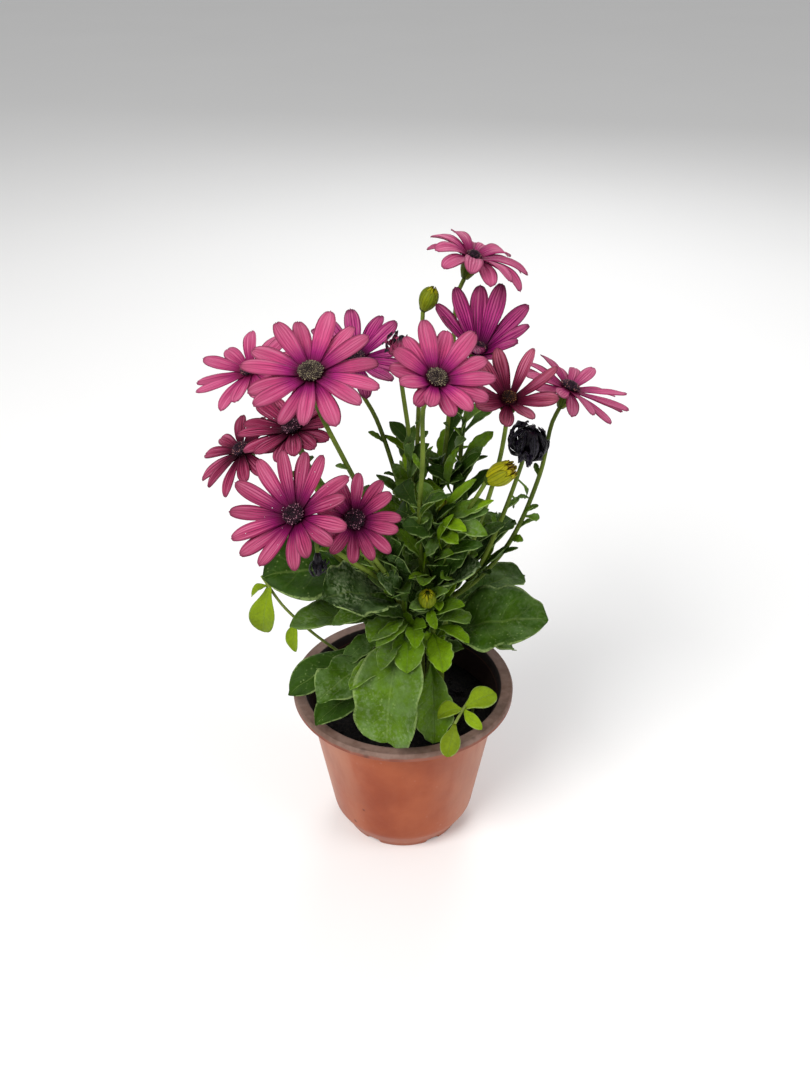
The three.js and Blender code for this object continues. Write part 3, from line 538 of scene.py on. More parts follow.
class Wire:
    """A value or colour that runs from one node to others. Sums on it add their Math nodes."""

    def __init__(self, finish, socket):
        self.finish = finish
        self.socket = socket

    def __add__(self, other):
        return self.finish.sum("ADD", self, other)

    def __sub__(self, other):
        return self.finish.sum("SUBTRACT", self, other)

    def __rsub__(self, other):
        return self.finish.sum("SUBTRACT", other, self)

    def __mul__(self, other):
        return self.finish.sum("MULTIPLY", self, other)

    def __abs__(self):
        return self.finish.sum("ABSOLUTE", self)

    __radd__ = __add__
    __rmul__ = __mul__


class Finish:
    """A material in the making, with its colour so far."""

    def __init__(self, name):
        self.material = bpy.data.materials.new(name)
        self.material.use_nodes = True
        self.tree = self.material.node_tree
        self.tree.nodes.clear()
        self.colour = None

    def node(self, kind, settings=None, inputs=None, output=0):
        """Adds a node, makes its settings and then feeds its inputs. Gives one of its outputs."""
        node = self.tree.nodes.new(kind)
        for key, value in (settings or {}).items():
            setattr(node, key, value)
        for key, value in (inputs or {}).items():
            if isinstance(value, Wire):
                self.tree.links.new(value.socket, node.inputs[key])
            else:
                node.inputs[key].default_value = value
        return Wire(self, node.outputs[output])

    def sum(self, operation, *values):
        return self.node("ShaderNodeMath", {"operation": operation}, dict(enumerate(values)))

    def wave(self, value):
        return self.sum("SINE", value)

    def rise(self, value, low, high):
        """0 below low, 1 above high, and smooth between them."""
        settings = {"interpolation_type": "SMOOTHSTEP"}
        return self.node("ShaderNodeMapRange", settings, {0: value, 1: low, 2: high})

    def mix(self, a, b, factor):
        """Mixes two colours, where three numbers are what the screen shows."""
        a, b = (tint(*c) if isinstance(c, tuple) and len(c) == 3 else c for c in (a, b))
        return self.node("ShaderNodeMix", {"data_type": "RGBA"}, {0: factor, 6: a, 7: b}, 2)

    def lay(self, colour, factor):
        """Lays a colour over the one so far."""
        self.colour = self.mix(self.colour, colour, factor)

    def shade(self, strength):
        """Makes the colour so far darker or lighter by a value round 1."""
        inputs = {0: self.colour, "Scale": strength}
        self.colour = self.node("ShaderNodeVectorMath", {"operation": "SCALE"}, inputs)

    def ramp(self, value, stops):
        wire = self.node("ShaderNodeValToRGB", {}, {0: value})
        elements = wire.socket.node.color_ramp.elements
        while len(elements) < len(stops):
            elements.new(1)
        for element, (place, colour) in zip(elements, stops):
            element.position = place
            element.color = tint(*colour)
        return wire

    def place(self):
        return self.node("ShaderNodeTexCoord", output=3)

    def split(self, vector):
        return tuple(self.node("ShaderNodeSeparateXYZ", {}, {0: vector}, i) for i in range(3))

    def noise(self, scale, detail=3, roughness=0.55, vector=None):
        """Noise over the object's own metres, or over a vector."""
        inputs = {"Vector": vector or self.place(), "Scale": scale, "Detail": detail,
                  "Roughness": roughness}
        return self.node("ShaderNodeTexNoise", {}, inputs)

    def specks(self, scale, low, high):
        """Small round spots, 1 at their middles and 0 between them."""
        distance = self.node("ShaderNodeTexVoronoi", {}, {"Vector": self.place(), "Scale": scale})
        return 1 - self.rise(distance, low, high)

    def blade(self):
        """A blade's place across (-1 to 1) and along (0 to 1) at each point, and its tone."""
        return self.split(self.node("ShaderNodeAttribute", {"attribute_name": "blade"}, output=1))

    def surface(self, roughness, gloss, height=None, strength=0, distance=0, coat=0):
        """The material of the colour so far, with a bump where a height is given."""
        inputs = {"Base Color": self.colour, "Roughness": roughness, "Specular IOR Level": gloss,
                  "Coat Weight": coat}
        if height:
            bump = {"Height": height, "Strength": strength, "Distance": distance}
            inputs["Normal"] = self.node("ShaderNodeBump", {}, bump)
        shader = self.node("ShaderNodeBsdfPrincipled", {}, inputs)
        out = self.tree.nodes.new("ShaderNodeOutputMaterial")
        self.tree.links.new(shader.socket, out.inputs["Surface"])
        return self.material


def petal_finish(name, look):
    """Petals with a dark heart, a purple halo, fine lengthwise veins and duller tips."""
    heart, halo, middle, tip, veins, tips = look
    f = Finish(f"{name} petals")
    across, along, tone = f.blade()
    side = abs(across)
    drift = f.noise(220) - 0.5
    bands = [(0.1, heart), (0.27, halo), (0.52, middle), (0.92, tip)]
    f.colour = f.ramp(along + drift * 0.14, bands)
    drawn_out = f.node("ShaderNodeCombineXYZ", {}, {0: across * 4.6, 1: along * 0.9, 2: tone * 40})
    streaks = f.noise(1, 4, 0.6, drawn_out)
    lines = f.rise(abs(f.wave(across * 9.4 + drift * 2.2 + tone * 3)), 0.74, 0.98) * 1.05
    fade = 1 - f.rise(along, 0.3, 1) * 0.5
    f.lay(heart, (f.rise(streaks, 0.5, 0.72) + lines) * fade * veins)
    # Pale streaks between the veins: a painted highlight on the ridges that the bump raises there.
    f.lay((232, 142, 176), (1 - f.rise(streaks, 0.34, 0.52)) * f.rise(along, 0.2, 0.6) * 0.36)
    f.lay(heart, f.rise(side, 0.7, 0.92) * 0.22 + f.rise(along + drift * 0.2, 0.86, 1) * tips)
    # A thin dark line along each petal's sides and tip end: painted shade where petals lie over one
    # another.
    sides = f.rise(side, 0.88, 0.98) * f.rise(along, 0.45, 0.8)
    f.lay((92, 34, 56), f.sum("MAXIMUM", sides, f.rise(along, 0.95, 0.99)) * 0.42)
    f.shade(0.82 + tone * 0.28 + f.noise(90) * 0.28)
    ribs = f.wave(across * 16.4) * 0.3 - streaks + f.noise(1100) * 0.5
    return f.surface(0.5 + drift * 0.3, 0.08, ribs, 0.45, 0.0005)


def leaf_finish(name, shades, dust):
    """Leaves with a pale midrib, slanting side veins, a hairy pale margin and dusty specks."""
    f = Finish(name)
    across, along, tone = f.blade()
    side = abs(across)
    cloud = f.noise(90) - 0.5
    grain = f.noise(800)
    f.colour = f.ramp(tone + cloud * 0.3, shades)
    midrib = 1 - f.rise(side, 0.015, 0.06)
    slanting = f.rise(f.wave(along * 44 - side * 10 + cloud * 3), 0.88, 1)
    veins = slanting * (1 - f.rise(side, 0.5, 0.9))
    f.lay((132, 158, 78), midrib * 0.26)
    f.lay((132, 158, 78), veins * 0.08)
    old = 1 - f.rise(tone, 0.05, 0.15)
    dusty = f.rise(tone, 0.2, 0.36) - f.rise(tone, 0.55, 0.75)
    film = f.rise(f.noise(130, 5, 0.62), 0.38, 0.62) * (0.08 + old * 0.7 + dusty * 0.5)
    f.lay((108, 136, 84), film * dust * 0.75)
    crust = f.rise(f.noise(520, 4), 0.46, 0.62) * (old + dusty * 0.36)
    f.lay((146, 162, 122), crust * f.rise(f.noise(80), 0.4, 0.58) * dust * 0.6)
    dew = f.specks(380, 0.06, 0.26) * f.rise(f.noise(60), 0.42, 0.56)
    f.lay((156, 178, 108), dew * dust * 0.4)
    margin = f.rise(side + (grain - 0.5) * 0.08, 0.9, 0.97)
    f.lay((160, 184, 112), margin * f.rise(f.noise(420), 0.3, 0.55) * (0.6 + old * 0.35))
    f.shade(0.6 + grain * 0.44 + f.rise(f.noise(62), 0.34, 0.66) * 0.34)
    height = f.noise(330, 4) * 0.9 + veins * -0.4 + midrib * -0.6
    return f.surface(0.46 + grain * 0.2, 0.08, height, 0.55, 0.0008)


def stalk_finish(name, dark, light):
    """Green stalks with fine pale hairs along them."""
    f = Finish(name)
    hairs = f.rise(f.noise(1500, 2), 0.58, 0.76)
    f.colour = f.mix(dark, light, f.rise(f.noise(60), 0.3, 0.7))
    f.lay((168, 180, 112), hairs * 0.35)
    return f.surface(0.6, 0.2, f.noise(1200, 2), 0.4, 0.0004)


def bract_finish():
    """The green scales under a bloom and round a bud, with dark thin margins."""
    f = Finish("bracts")
    across, along, tone = f.blade()
    f.colour = f.ramp(tone, [(0.1, (62, 80, 16)), (0.6, (120, 132, 18)), (1, (194, 186, 16))])
    f.lay((62, 84, 14), f.rise(abs(f.wave(across * 4.5)), 0.8, 1) * 0.45)
    f.lay((64, 70, 10), f.rise(abs(across), 0.8, 1) * 0.55)
    f.lay((96, 50, 20), f.rise(along, 0.93, 1) * f.rise(tone, 0.6, 0.9) * 0.6)
    f.shade(0.75 + f.noise(600) * 0.5)
    return f.surface(0.5, 0.1)


def floret_finish(name, low, high, speck):
    """Beaded florets, with pollen on some."""
    f = Finish(name)
    _, along, tone = f.blade()
    f.colour = f.mix(low, high, f.rise(tone * 0.7 + along * 0.6, 0.35, 1.25))
    f.lay(speck, f.rise(tone, 0.8, 0.96) * f.rise(along, 0.5, 0.9) * 0.7)
    return f.surface(0.6, 0.2)


def withered_finish(name, fresh, dry_from):
    """Petals that are dry and near black from a place along them, and fresh below it."""
    f = Finish(name)
    across, along, tone = f.blade()
    ridges = abs(f.wave(across * 8 + f.noise(300) * 3))
    f.colour = f.mix((8, 5, 12), (40, 30, 56), f.rise(ridges * 0.6 + tone * 0.4, 0.35, 1.1))
    f.lay((70, 52, 78), f.rise(abs(across), 0.8, 1) * tone * 0.6)
    f.colour = f.mix(fresh, f.colour, f.rise(along + tone * 0.2, dry_from, dry_from + 0.3))
    return f.surface(0.38, 0.3, ridges, 0.7, 0.0006)


def drop_finish():
    """Drops of water coloured near white, which is a painted glint, under a glossy coat."""
    f = Finish("water drops")
    # Near white base colour: the drops' glint, painted.
    f.colour = f.mix((236, 226, 232), (255, 255, 255), f.noise(900))
    return f.surface(0.08, 0.5, coat=1)


def pot_finish():
    """Satin terracotta-coloured plastic: light dust, a painted sheen of pale streaks to the left
    and right, painted shade under the rim, a grey rubbed rim and small dark nicks.
    """
    f = Finish("pot plastic")
    place = f.place()
    x, y, z = f.split(place)
    radius = f.sum("SQRT", x * x + y * y)
    cloud = f.noise(24, 4)
    fine = f.noise(260, 3)
    tall = f.node("ShaderNodeMapping", {}, {"Vector": place, "Scale": (46, 46, 9)})
    rub_and_sheen = f.noise(1, 4, 0.6, tall)

    def above(height, low, high):
        """0 below and 1 above a height of the pot, given in millimetres with its soft edge."""
        return f.rise(z, MM * (height + low), MM * (height + high))

    f.colour = f.mix((156, 67, 32), (182, 90, 50), f.rise(cloud, 0.32, 0.68))
    # Pale streaks: faint all over as dust, and strong towards the left and right as a painted
    # sheen, the reflection at the pot's edges.
    f.lay((206, 152, 126), f.rise(rub_and_sheen, 0.3, 0.66) * (0.06 + f.rise(abs(x), 0.01, 0.052) * 0.74))
    f.lay((186, 108, 74), (1 - above(0, 4, 16)) * 0.5)
    # A darker band on the body just under the rim: painted shade of the rim's overhang.
    f.lay((128, 62, 44), above(RIM_UNDERSIDE, -6, 0) * 0.45)
    rim = above(RIM_UNDERSIDE, -0.4, 0.4)
    top = f.rise(z + (fine - 0.5) * 0.002, MM * (RIM_TOP - 3.2), MM * (RIM_TOP - 1.6))
    worn = f.mix((112, 84, 72), (150, 122, 110), f.rise(cloud + fine * 0.5, 0.55, 1))
    side = f.mix((138, 76, 60), (160, 98, 80), f.rise(rub_and_sheen, 0.35, 0.65))
    f.lay(f.mix(side, worn, top), rim)
    f.lay((70, 52, 46), f.specks(120, 0.1, 0.3) * f.rise(cloud, 0.46, 0.6) * rim * 0.5)
    inner = BEND_RADIUS - BODY_SLOPE * BEND_HEIGHT
    within = 1 - f.rise(radius - z * BODY_SLOPE, MM * (inner - 0.9), MM * (inner - 0.5))
    mouth = 1 - f.rise(radius, MM * (MOUTH_RADIUS - 0.2), MM * (MOUTH_RADIUS + 0.7))
    dark = f.sum("MAXIMUM", within * above(55, 0, 5), mouth * above(RIM_UNDERSIDE, 0, 0.4))
    f.lay((26, 20, 22), dark * 0.97)
    nicks = f.specks(52, 0.04, 0.09) * f.rise(fine, 0.4, 0.5)
    f.lay((92, 36, 24), nicks * 0.8)
    f.lay((206, 170, 154), f.specks(150, 0.06, 0.16) * f.rise(cloud, 0.5, 0.7) * 0.3)
    return f.surface(0.26 + rub_and_sheen * 0.3 + rim * 0.2, 0.22, fine + nicks * -1.0, 0.2, 0.0004)


def soil_finish():
    """Dark damp soil with a few paler crumbs."""
    f = Finish("soil")
    grain = f.noise(420, 5, 0.7)
    f.colour = f.mix((8, 7, 8), (40, 33, 30), f.rise(grain, 0.42, 0.78))
    f.lay((84, 72, 62), f.specks(330, 0.08, 0.18) * 0.25)
    return f.surface(0.95, 0.15, grain, 0.9, 0.0015)


def floor_finish():
    f = Finish("pale floor")
    f.colour = f.mix((0.93, 0.93, 0.93, 1), (0.9, 0.9, 0.9, 1), f.noise(3, 2))
    return f.surface(0.9, 0.1)


# Shapes

def new_part():
    """An empty mesh, and its layer for a point's place across and along and its tone."""
    part = bmesh.new()
    return part, part.verts.layers.float_vector.new("blade")


def blade(shape, columns, rows, tone, thickness):
    """A thin closed petal or leaf: a grid laid out by a function of across and along."""
    part, layer = new_part()
    bmesh.ops.create_grid(part, x_segments=columns, y_segments=rows, size=1)
    for vert in part.verts:
        across, along = vert.co.x, 1 - (0.5 - vert.co.y / 2) ** TIP_EASE
        vert[layer] = (across, along, tone)
        vert.co = shape(across, along)
    bmesh.ops.solidify(part, geom=part.faces[:], thickness=thickness)
    bmesh.ops.recalc_face_normals(part, faces=part.faces[:])
    return part


def tube(path, radius_at, sides, steps):
    """A closed tube along a path, from rings that are bridged."""
    part, layer = new_part()
    before = None
    for i in range(steps + 1):
        share = i / steps
        seat = standing(path.at(share), path.heading(share))
        ring = bmesh.ops.create_circle(part, segments=sides, radius=radius_at(share),
                                       cap_ends=i in (0, steps), matrix=seat)
        for vert in ring["verts"]:
            vert[layer] = (0, share, 0.5)
        edges = {edge for vert in ring["verts"] for edge in vert.link_edges}
        if before:
            bmesh.ops.bridge_loops(part, edges=list(edges | before))
        before = edges
    bmesh.ops.recalc_face_normals(part, faces=part.faces[:])
    return part


def lathe(profile, sides, place=ZERO, axis=UP):
    """A closed solid spun from a profile of radii and heights that starts and ends on the axis."""
    part, _ = new_part()
    verts = [part.verts.new((radius, 0, height)) for radius, height in profile]
    edges = [part.edges.new(pair) for pair in zip(verts, verts[1:])]
    bmesh.ops.spin(part, geom=verts + edges, cent=(0, 0, 0), axis=(0, 0, 1), angle=2 * pi,
                   steps=sides, use_merge=True)
    bmesh.ops.remove_doubles(part, verts=part.verts[:], dist=1e-4)
    bmesh.ops.recalc_face_normals(part, faces=part.faces[:])
    bmesh.ops.transform(part, matrix=standing(place, axis), verts=part.verts[:])
    return part


def bead(place, axis, size, height, tone):
    """A small round floret, crumb or drop, stretched along an axis."""
    part, layer = new_part()
    seat = standing(place, axis) @ Matrix.Diagonal((size, size, height, 1))
    bmesh.ops.create_icosphere(part, subdivisions=1, radius=1, matrix=seat)
    for vert in part.verts:
        lift = (vert.co - place).dot(axis) / height
        vert[layer] = (0, 0.5 + 0.5 * lift, tone)
    return part


def link(name, data):
    """A new object in the scene."""
    thing = bpy.data.objects.new(name, data)
    bpy.context.scene.collection.objects.link(thing)
    return thing


def made(name, part, finishes=()):
    """The object of a mesh in the making, which is used up."""
    mesh = bpy.data.meshes.new(name)
    part.to_mesh(mesh)
    part.free()
    for finish in finishes:
        mesh.materials.append(finish)
    return link(name, mesh)


class Piece:
    """A mesh in the making, in millimetres, from parts that each have a finish."""

    def __init__(self, name):
        self.name = name
        self.mesh = bmesh.new()
        self.finishes = []

    def add(self, part, finish, smooth=True):
        if finish not in self.finishes:
            self.finishes.append(finish)
        for face in part.faces:
            face.material_index = self.finishes.index(finish)
            face.smooth = smooth
        carrier = bpy.data.meshes.new("part")
        part.to_mesh(carrier)
        part.free()
        self.mesh.from_mesh(carrier)
        bpy.data.meshes.remove(carrier)

    def done(self, node):
        """The finished object, in metres, in place of its CAD node."""
        bmesh.ops.scale(self.mesh, vec=(MM, MM, MM), verts=self.mesh.verts[:])
        thing = made(self.name, self.mesh, self.finishes)
        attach(thing, "root")
        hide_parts(node)
        return thing


# Blooms

def petal_shape(bloom, seed, k):
    """The surface of one petal, as a function of its place across and along."""
    head, out, right, up = seat_of(bloom)
    step = 2 * pi / bloom.petals
    angle = radians(bloom.first + spread(seed, k, PETAL_JITTER)) + k * step
    direction, side = around(out, right, up, angle)
    longer = 1 + bloom.skew[0] * cos(angle) + bloom.skew[1] * sin(angle)
    length = (bloom.radius - HUB_RADIUS) * longer * (0.93 + 0.12 * draw(seed, k + 20))
    alone = bloom.petals % 2 == 1 and k == bloom.petals - 1
    order = 0 if alone else (-1 if k % 2 == 0 else 1)
    roll = radians(spread(seed, k + 40, bloom.roll))
    sway = spread(seed, k + 60, 0.07)
    flick = spread(seed, k + 80, 0.08)
    fold = 0.12 + 0.14 * draw(seed, k + 100)
    level = cos(radians(bloom.cup))
    room = 2 * (HUB_RADIUS + 0.8 * length * level) * tan(step / 2)
    width = min(bloom.width, room) * (0.92 + 0.14 * draw(seed, k + 110))
    pointed = 0.015 + 0.035 * draw(seed, k + 115)

    def shape(across, along):
        notch = 0.018 * exp(-((abs(across) - 0.45) / 0.2) ** 2)
        share = along * (1 - pointed * abs(across) ** 2.2 - notch * along)
        reached, high, slope = bent(bloom.cup + PETAL_SPREAD * order, bloom.curl, length, share)
        upper = turned(direction, out, slope)[1]
        tilted, normal = turned(side, upper, roll * (0.4 + 0.9 * share))
        half = width / 2 * through(PETAL_OUTLINE, share)
        spine = head + direction * (HUB_RADIUS - 0.6 + reached)
        spine += out * (high - HUB_THICKNESS / 2 + 0.22 * order)
        spine += side * (sway * length * share ** 2) + normal * (flick * length * share ** 3)
        gutter = half * fold * across ** 2 + 0.13 * cos(3 * pi * across) * min(1, 4 * share)
        ripple = 0.4 * share * noise.noise(Vector((across * 1.3, share * 4, seed * 7 + k)))
        return spine + tilted * (half * across) + normal * (gutter + ripple)

    return shape


def calyx(piece, bloom, finish):
    """The green cup of narrow scales under a bloom."""
    head, out, right, up = seat_of(bloom)
    lift = 2.4 * sin(radians(bloom.cup))
    cup = [(0, -11), (1.2, -10.9), (2.5, -8), (3.7, -5), (4.1, -2.2), (3.4, -1.5), (0, -1.5)]
    piece.add(lathe(cup, 16, head, out), finish)
    for k in range(CALYX_SCALES):
        angle = 2 * pi * (k + 0.3 * draw(31, k)) / CALYX_SCALES
        direction, side = around(out, right, up, angle)
        reach = 1 + 0.18 * draw(37, k)

        def shape(across, along):
            radius = through([(0, 1.5), (0.35, 3.3), (0.7, 4.6), (1, 6.6 * reach - 0.6)], along)
            radius += 0.12 * (k % 2)
            height = through([(0, -10.4), (0.35, -6.8), (0.7, -2.4), (1, -1.5 + lift)], along)
            half = 0.95 * through([(0, 0.7), (0.5, 1), (0.8, 0.75), (1, 0.1)], along)
            radius += 0.2 * (1 - across ** 2)
            return head + direction * radius + out * height + side * (half * across)

        piece.add(blade(shape, 4, 8, 0.1 + 0.3 * draw(41, k), 0.3), finish)


def bud(piece, stalk, seed, finish, tuft_finish):
    """A closed bud of long scales, and on a ripe one the tuft of its closed petals."""
    place, axis, size = Vector(stalk["bud"]), Vector(stalk["lean"]).normalized(), stalk["size"]
    right = axis.cross(Vector((0.1, 1, 0))).normalized()
    up = axis.cross(right)
    core = [(0, -1.2), (0.34, -1.1), (0.6, -0.6), (0.7, 0.1), (0.5, 0.7), (0, 0.95)]
    profile = [(size * radius, size * height) for radius, height in core]
    piece.add(lathe(profile, 16, place, axis), finish)
    ripe = stalk.get("ripe", False)
    girth = [(-1.2, 0.2), (-0.9, 0.44), (-0.4, 0.74), (0.2, 0.86), (0.75, 0.68), (1.3, 0.14)]
    if ripe:
        girth = [(-1.2, 0.2), (-0.9, 0.42), (-0.4, 0.74), (0.2, 0.86), (0.8, 0.74), (1.3, 0.66)]
    for row, (count, top, swell) in enumerate(zip(BUD_SCALES, (1.24, 0.98), (0.93, 1))):
        for k in range(count):
            angle = 2 * pi * (k + 0.4 * row + 0.25 * draw(seed, k + 10 * row)) / count
            direction, side = around(axis, right, up, angle)
            end = top * (0.92 + 0.14 * draw(seed, k + 50))

            def shape(across, along):
                height = -1.14 + (end + 1.14) * along
                half = through([(0, 0.9), (0.5, 1), (0.84, 0.86), (1, 0.24)], along)
                half *= pi / count * 1.25
                reach = size * through(girth, height) * swell * (1 - 0.05 * across ** 2)
                spoke = turned(direction, side, half * across)[0]
                return place + axis * (size * height) + spoke * reach

            tone = stalk.get("tone", 0.95 if ripe else 0.68) - 0.22 * row + 0.2 * draw(seed, k + 60)
            piece.add(blade(shape, 4, 12, tone, 0.25), finish)
    if ripe:
        for k in range(2 * TUFT_STRIPS):
            angle = 2 * pi * (k + 0.4 * draw(seed, k)) / TUFT_STRIPS
            direction, side = around(axis, right, up, angle)
            inner = 1 if k < TUFT_STRIPS else 0.5
            length = size * (1.0 + 0.3 * draw(seed, k + 30))

            def shape(across, along):
                radius = inner * size * through([(0, 0.5), (0.5, 0.56), (1, 0.4)], along)
                half = 0.8 * through([(0, 1), (0.6, 0.8), (1, 0.15)], along)
                spine = place + axis * (size * 0.2 + length * along)
                return spine + direction * radius + side * (half * across)

            piece.add(blade(shape, 2, 6, draw(seed, k + 70), 0.25), tuft_finish)


def disc_piece(number, bloom, finish):
    """The domed disc: beaded florets on a spiral over a small dome."""
    head, out, right, up = seat_of(bloom)
    radius = bloom.disc
    piece = Piece(f"bloom_{number}_florets")
    dome = [(0, 0.4), (0.8, 0.4), (0.96, 1.3), (0.8, 2.4), (0.4, 3.1), (0, 3.3)]
    piece.add(lathe([(radius * share, height) for share, height in dome], 20, head, out), finish)
    count = int(FLORET_DENSITY * radius * radius)
    for i in range(count):
        share = sqrt((i + 0.5) / count)
        angle = radians(GOLDEN_TURN * i)
        spoke, _ = around(out, right, up, angle)
        height = 3.4 - 2 * share ** 2.4
        lean = (out * (1.1 - 0.6 * share) + spoke * share * 0.9).normalized()
        place = head + spoke * (radius * share) + out * height
        size = 0.28 + 0.14 * share
        piece.add(bead(place, lean, size, size * (1.1 + 0.9 * draw(i, 3)), draw(i, 5)), finish)
    return piece.done(f"bloom_{number}_disc")


def petals_piece(number, seed, bloom, finish, drops):
    piece = Piece(f"bloom_{number}_rays")
    head, out, _, _ = seat_of(bloom)
    hub = [(0, -1.4), (3.2, -1.4), (3.6, -0.6), (3.2, 0.2), (0, 0.3)]
    piece.add(lathe(hub, 20, head, out), finish)
    shapes = [petal_shape(bloom, seed, k) for k in range(bloom.petals)]
    for k, shape in enumerate(shapes):
        piece.add(blade(shape, 6, 14, draw(seed, k + 120), PETAL_THICKNESS), finish)
    for i in range(bloom.drops):
        shape = shapes[int(draw(seed + 9, i) * len(shapes))]
        place = shape(spread(seed + 10, i, 0.7), 0.12 + 0.7 * draw(seed + 11, i) ** 2) + out * 0.25
        size = 0.14 + 0.16 * draw(seed + 12, i) ** 2
        piece.add(bead(place, out, size, size * 0.8, 0), drops)
    return piece.done(f"bloom_{number}_petals")


# Shoots

def toothed(share, count, phase, depth):
    """How much of a leaf's width is left between its coarse teeth."""
    tooth = (share * count + phase) % 1
    hollow = 0.5 - 0.5 * cos(2 * pi * tooth ** 1.8)
    return 1 - depth * hollow * min(1, max(0, 4 * (share - 0.34)))


def leaf_shape(root, leaf, seed):
    """A toothed leaf's surface: a narrow stalk, then a broad drooping blade with wavy edges."""
    root, tip = Vector(root), Vector(leaf.tip)
    span = tip - root
    level = hypot(span.x, span.y)
    half_droop = radians(leaf.droop) / 2
    length = span.length * half_droop / sin(half_droop)
    start = degrees(atan2(span.z, level)) + leaf.droop / 2
    ahead, right, _ = facing(degrees(atan2(span.x, -span.y)), 0)
    folds = [0.12 + 0.22 * draw(seed, place) for place in (14, 34)]
    phase = draw(seed, 51)
    teeth = leaf.lobes or 5 + 2 * draw(seed, 52)
    crinkle = 0.8 + 1.8 * (1 - leaf.tone) ** 2

    def shape(across, along):
        share = along * (1 - 0.05 * across ** 4)
        roll = radians(leaf.twist) * share
        cut = toothed(share, teeth, phase + 0.3 * (across > 0), leaf.teeth)
        reached, high, slope = bent(start, leaf.droop, length, share)
        side, normal = turned(right, turned(ahead, UP, slope)[1], roll)
        half = leaf.width / 2 * through(leaf.outline, share) * (1 - abs(across) * (1 - cut))
        fold = folds[0] if across > 0 else folds[1]
        wave = 0.16 * sin(9 * share + 6 * phase + 2 * across) * across * across
        bumps = crinkle * noise.noise(Vector((across * 2.4, share * 7, seed * 3.1)))
        lift = half * (fold * abs(across) ** 1.3 + wave) - 0.5 * exp(-(across / 0.14) ** 2)
        place = root + ahead * reached + UP * high
        return place + side * (half * across) + normal * (lift + bumps * min(1, 3 * share))

    return shape


def oval_shape(root, tip, width, seed, outline=OVAL_OUTLINE, teeth=0.17):
    """A small leaf's surface: slim at its root and broad past its middle."""
    length = (tip - root).length
    ahead = (tip - root).normalized()
    side = (LEAF_FACING.cross(ahead) + UP.cross(ahead) * 0.3).normalized()
    upper = ahead.cross(side)
    roll = radians(spread(seed, 6, 26))
    side, upper = turned(side, upper, roll)
    bend = spread(seed, 7, 0.14)
    curl = 0.5 * draw(seed, 8)
    phase = draw(seed, 9)

    def shape(across, along):
        share = along * (1 - 0.05 * across ** 4)
        cut = toothed(share, 4.4, phase, teeth)
        half = width / 2 * through(outline, share) * (1 - abs(across) * (1 - cut))
        arch = length * (OVAL_ARCH * sin(pi * share) - curl * max(0, share - 0.6) ** 2)
        bumps = 0.5 * noise.noise(Vector((across * 2, share * 5, seed)))
        lift = half * 0.34 * abs(across) ** 1.4 + bumps
        place = root + ahead * (length * share) + side * (bend * length * share * share)
        return place + side * (half * across) + upper * (arch + lift)

    return shape


def stalk_path(stalk, start):
    """A stalk's path from the trunk to what it carries."""
    knots = [start, *(Vector(knot) for knot in stalk["knots"])]
    if "bud" in stalk:
        axis = Vector(stalk["lean"]).normalized()
        return Path([*knots, Vector(stalk["bud"]) - axis * stalk["size"] * 1.1])
    carried = BLOOMS[stalk["bloom"]] if "bloom" in stalk else WITHERED[stalk["withered"]]
    head, out, _, _ = seat_of(carried)
    if "bloom" in stalk:
        return Path([*knots, head - out * NECK_LENGTH, head - out * 10.5])
    return Path([*knots, head - out * 8, head])


def leaflets(paths, seed):
    """A few tiny leaves up each stalk: their roots, tips, widths and tones."""
    for mark, path in enumerate(paths[:-1], seed):
        for i in range(LEAFLETS):
            share = 0.34 + 0.13 * i + 0.1 * draw(mark, i)
            out = facing(360 * draw(mark, i + 5), 0)[0]
            root = path.at(share)
            ahead = (path.heading(share) * 0.9 + out * 0.7).normalized()
            tip = root + ahead * (LEAFLET_LENGTH * (0.7 + 0.6 * draw(mark, i + 9)))
            yield root, tip, LEAFLET_WIDTH, 0.3 + 0.3 * draw(mark, i + 12)


def spray_leaves(paths, sprays):
    """The small leaves of the spray rows, which stand off between two turns."""
    for stalk, first, last, count, (low, high), length, width, mark in sprays:
        for i in range(count):
            share = first + (last - first) * i / max(1, count - 1)
            turn = low + (i * GOLDEN_TURN % 360) * (high - low) / 360
            out = facing(turn, 34 + 30 * draw(mark, i))[0]
            root = paths[stalk].at(share)
            tip = root + out * (length * (0.8 + 0.4 * draw(mark, i + 9)))
            narrow = 0.95 - SLIMMING * share
            yield root, tip, width * narrow, 0.12 + 0.6 * draw(mark, i + 30)


def fill_leaves(paths, fill, seed):
    """The small leaves of the fill rows, all round a stalk or the trunk."""
    for row, (stalk, first, last, count, length, width) in enumerate(fill):
        mark = seed + 11 * row
        for i in range(count):
            share = first + (last - first) * (i + draw(mark, i)) / count
            out = facing(i * GOLDEN_TURN + 50 * row, 34 + 44 * draw(mark, i + 20))[0]
            root = paths[stalk].at(share)
            size = 0.7 + 0.5 * draw(mark, i + 40)
            tip = root + out * (length * size * 1.08)
            narrow = 0.65 + 0.5 * draw(mark, i + 80) - (0 if stalk == TRUNK else SLIMMING * share)
            yield root, tip, width * size * narrow, 0.1 + 0.82 * draw(mark, i + 60)


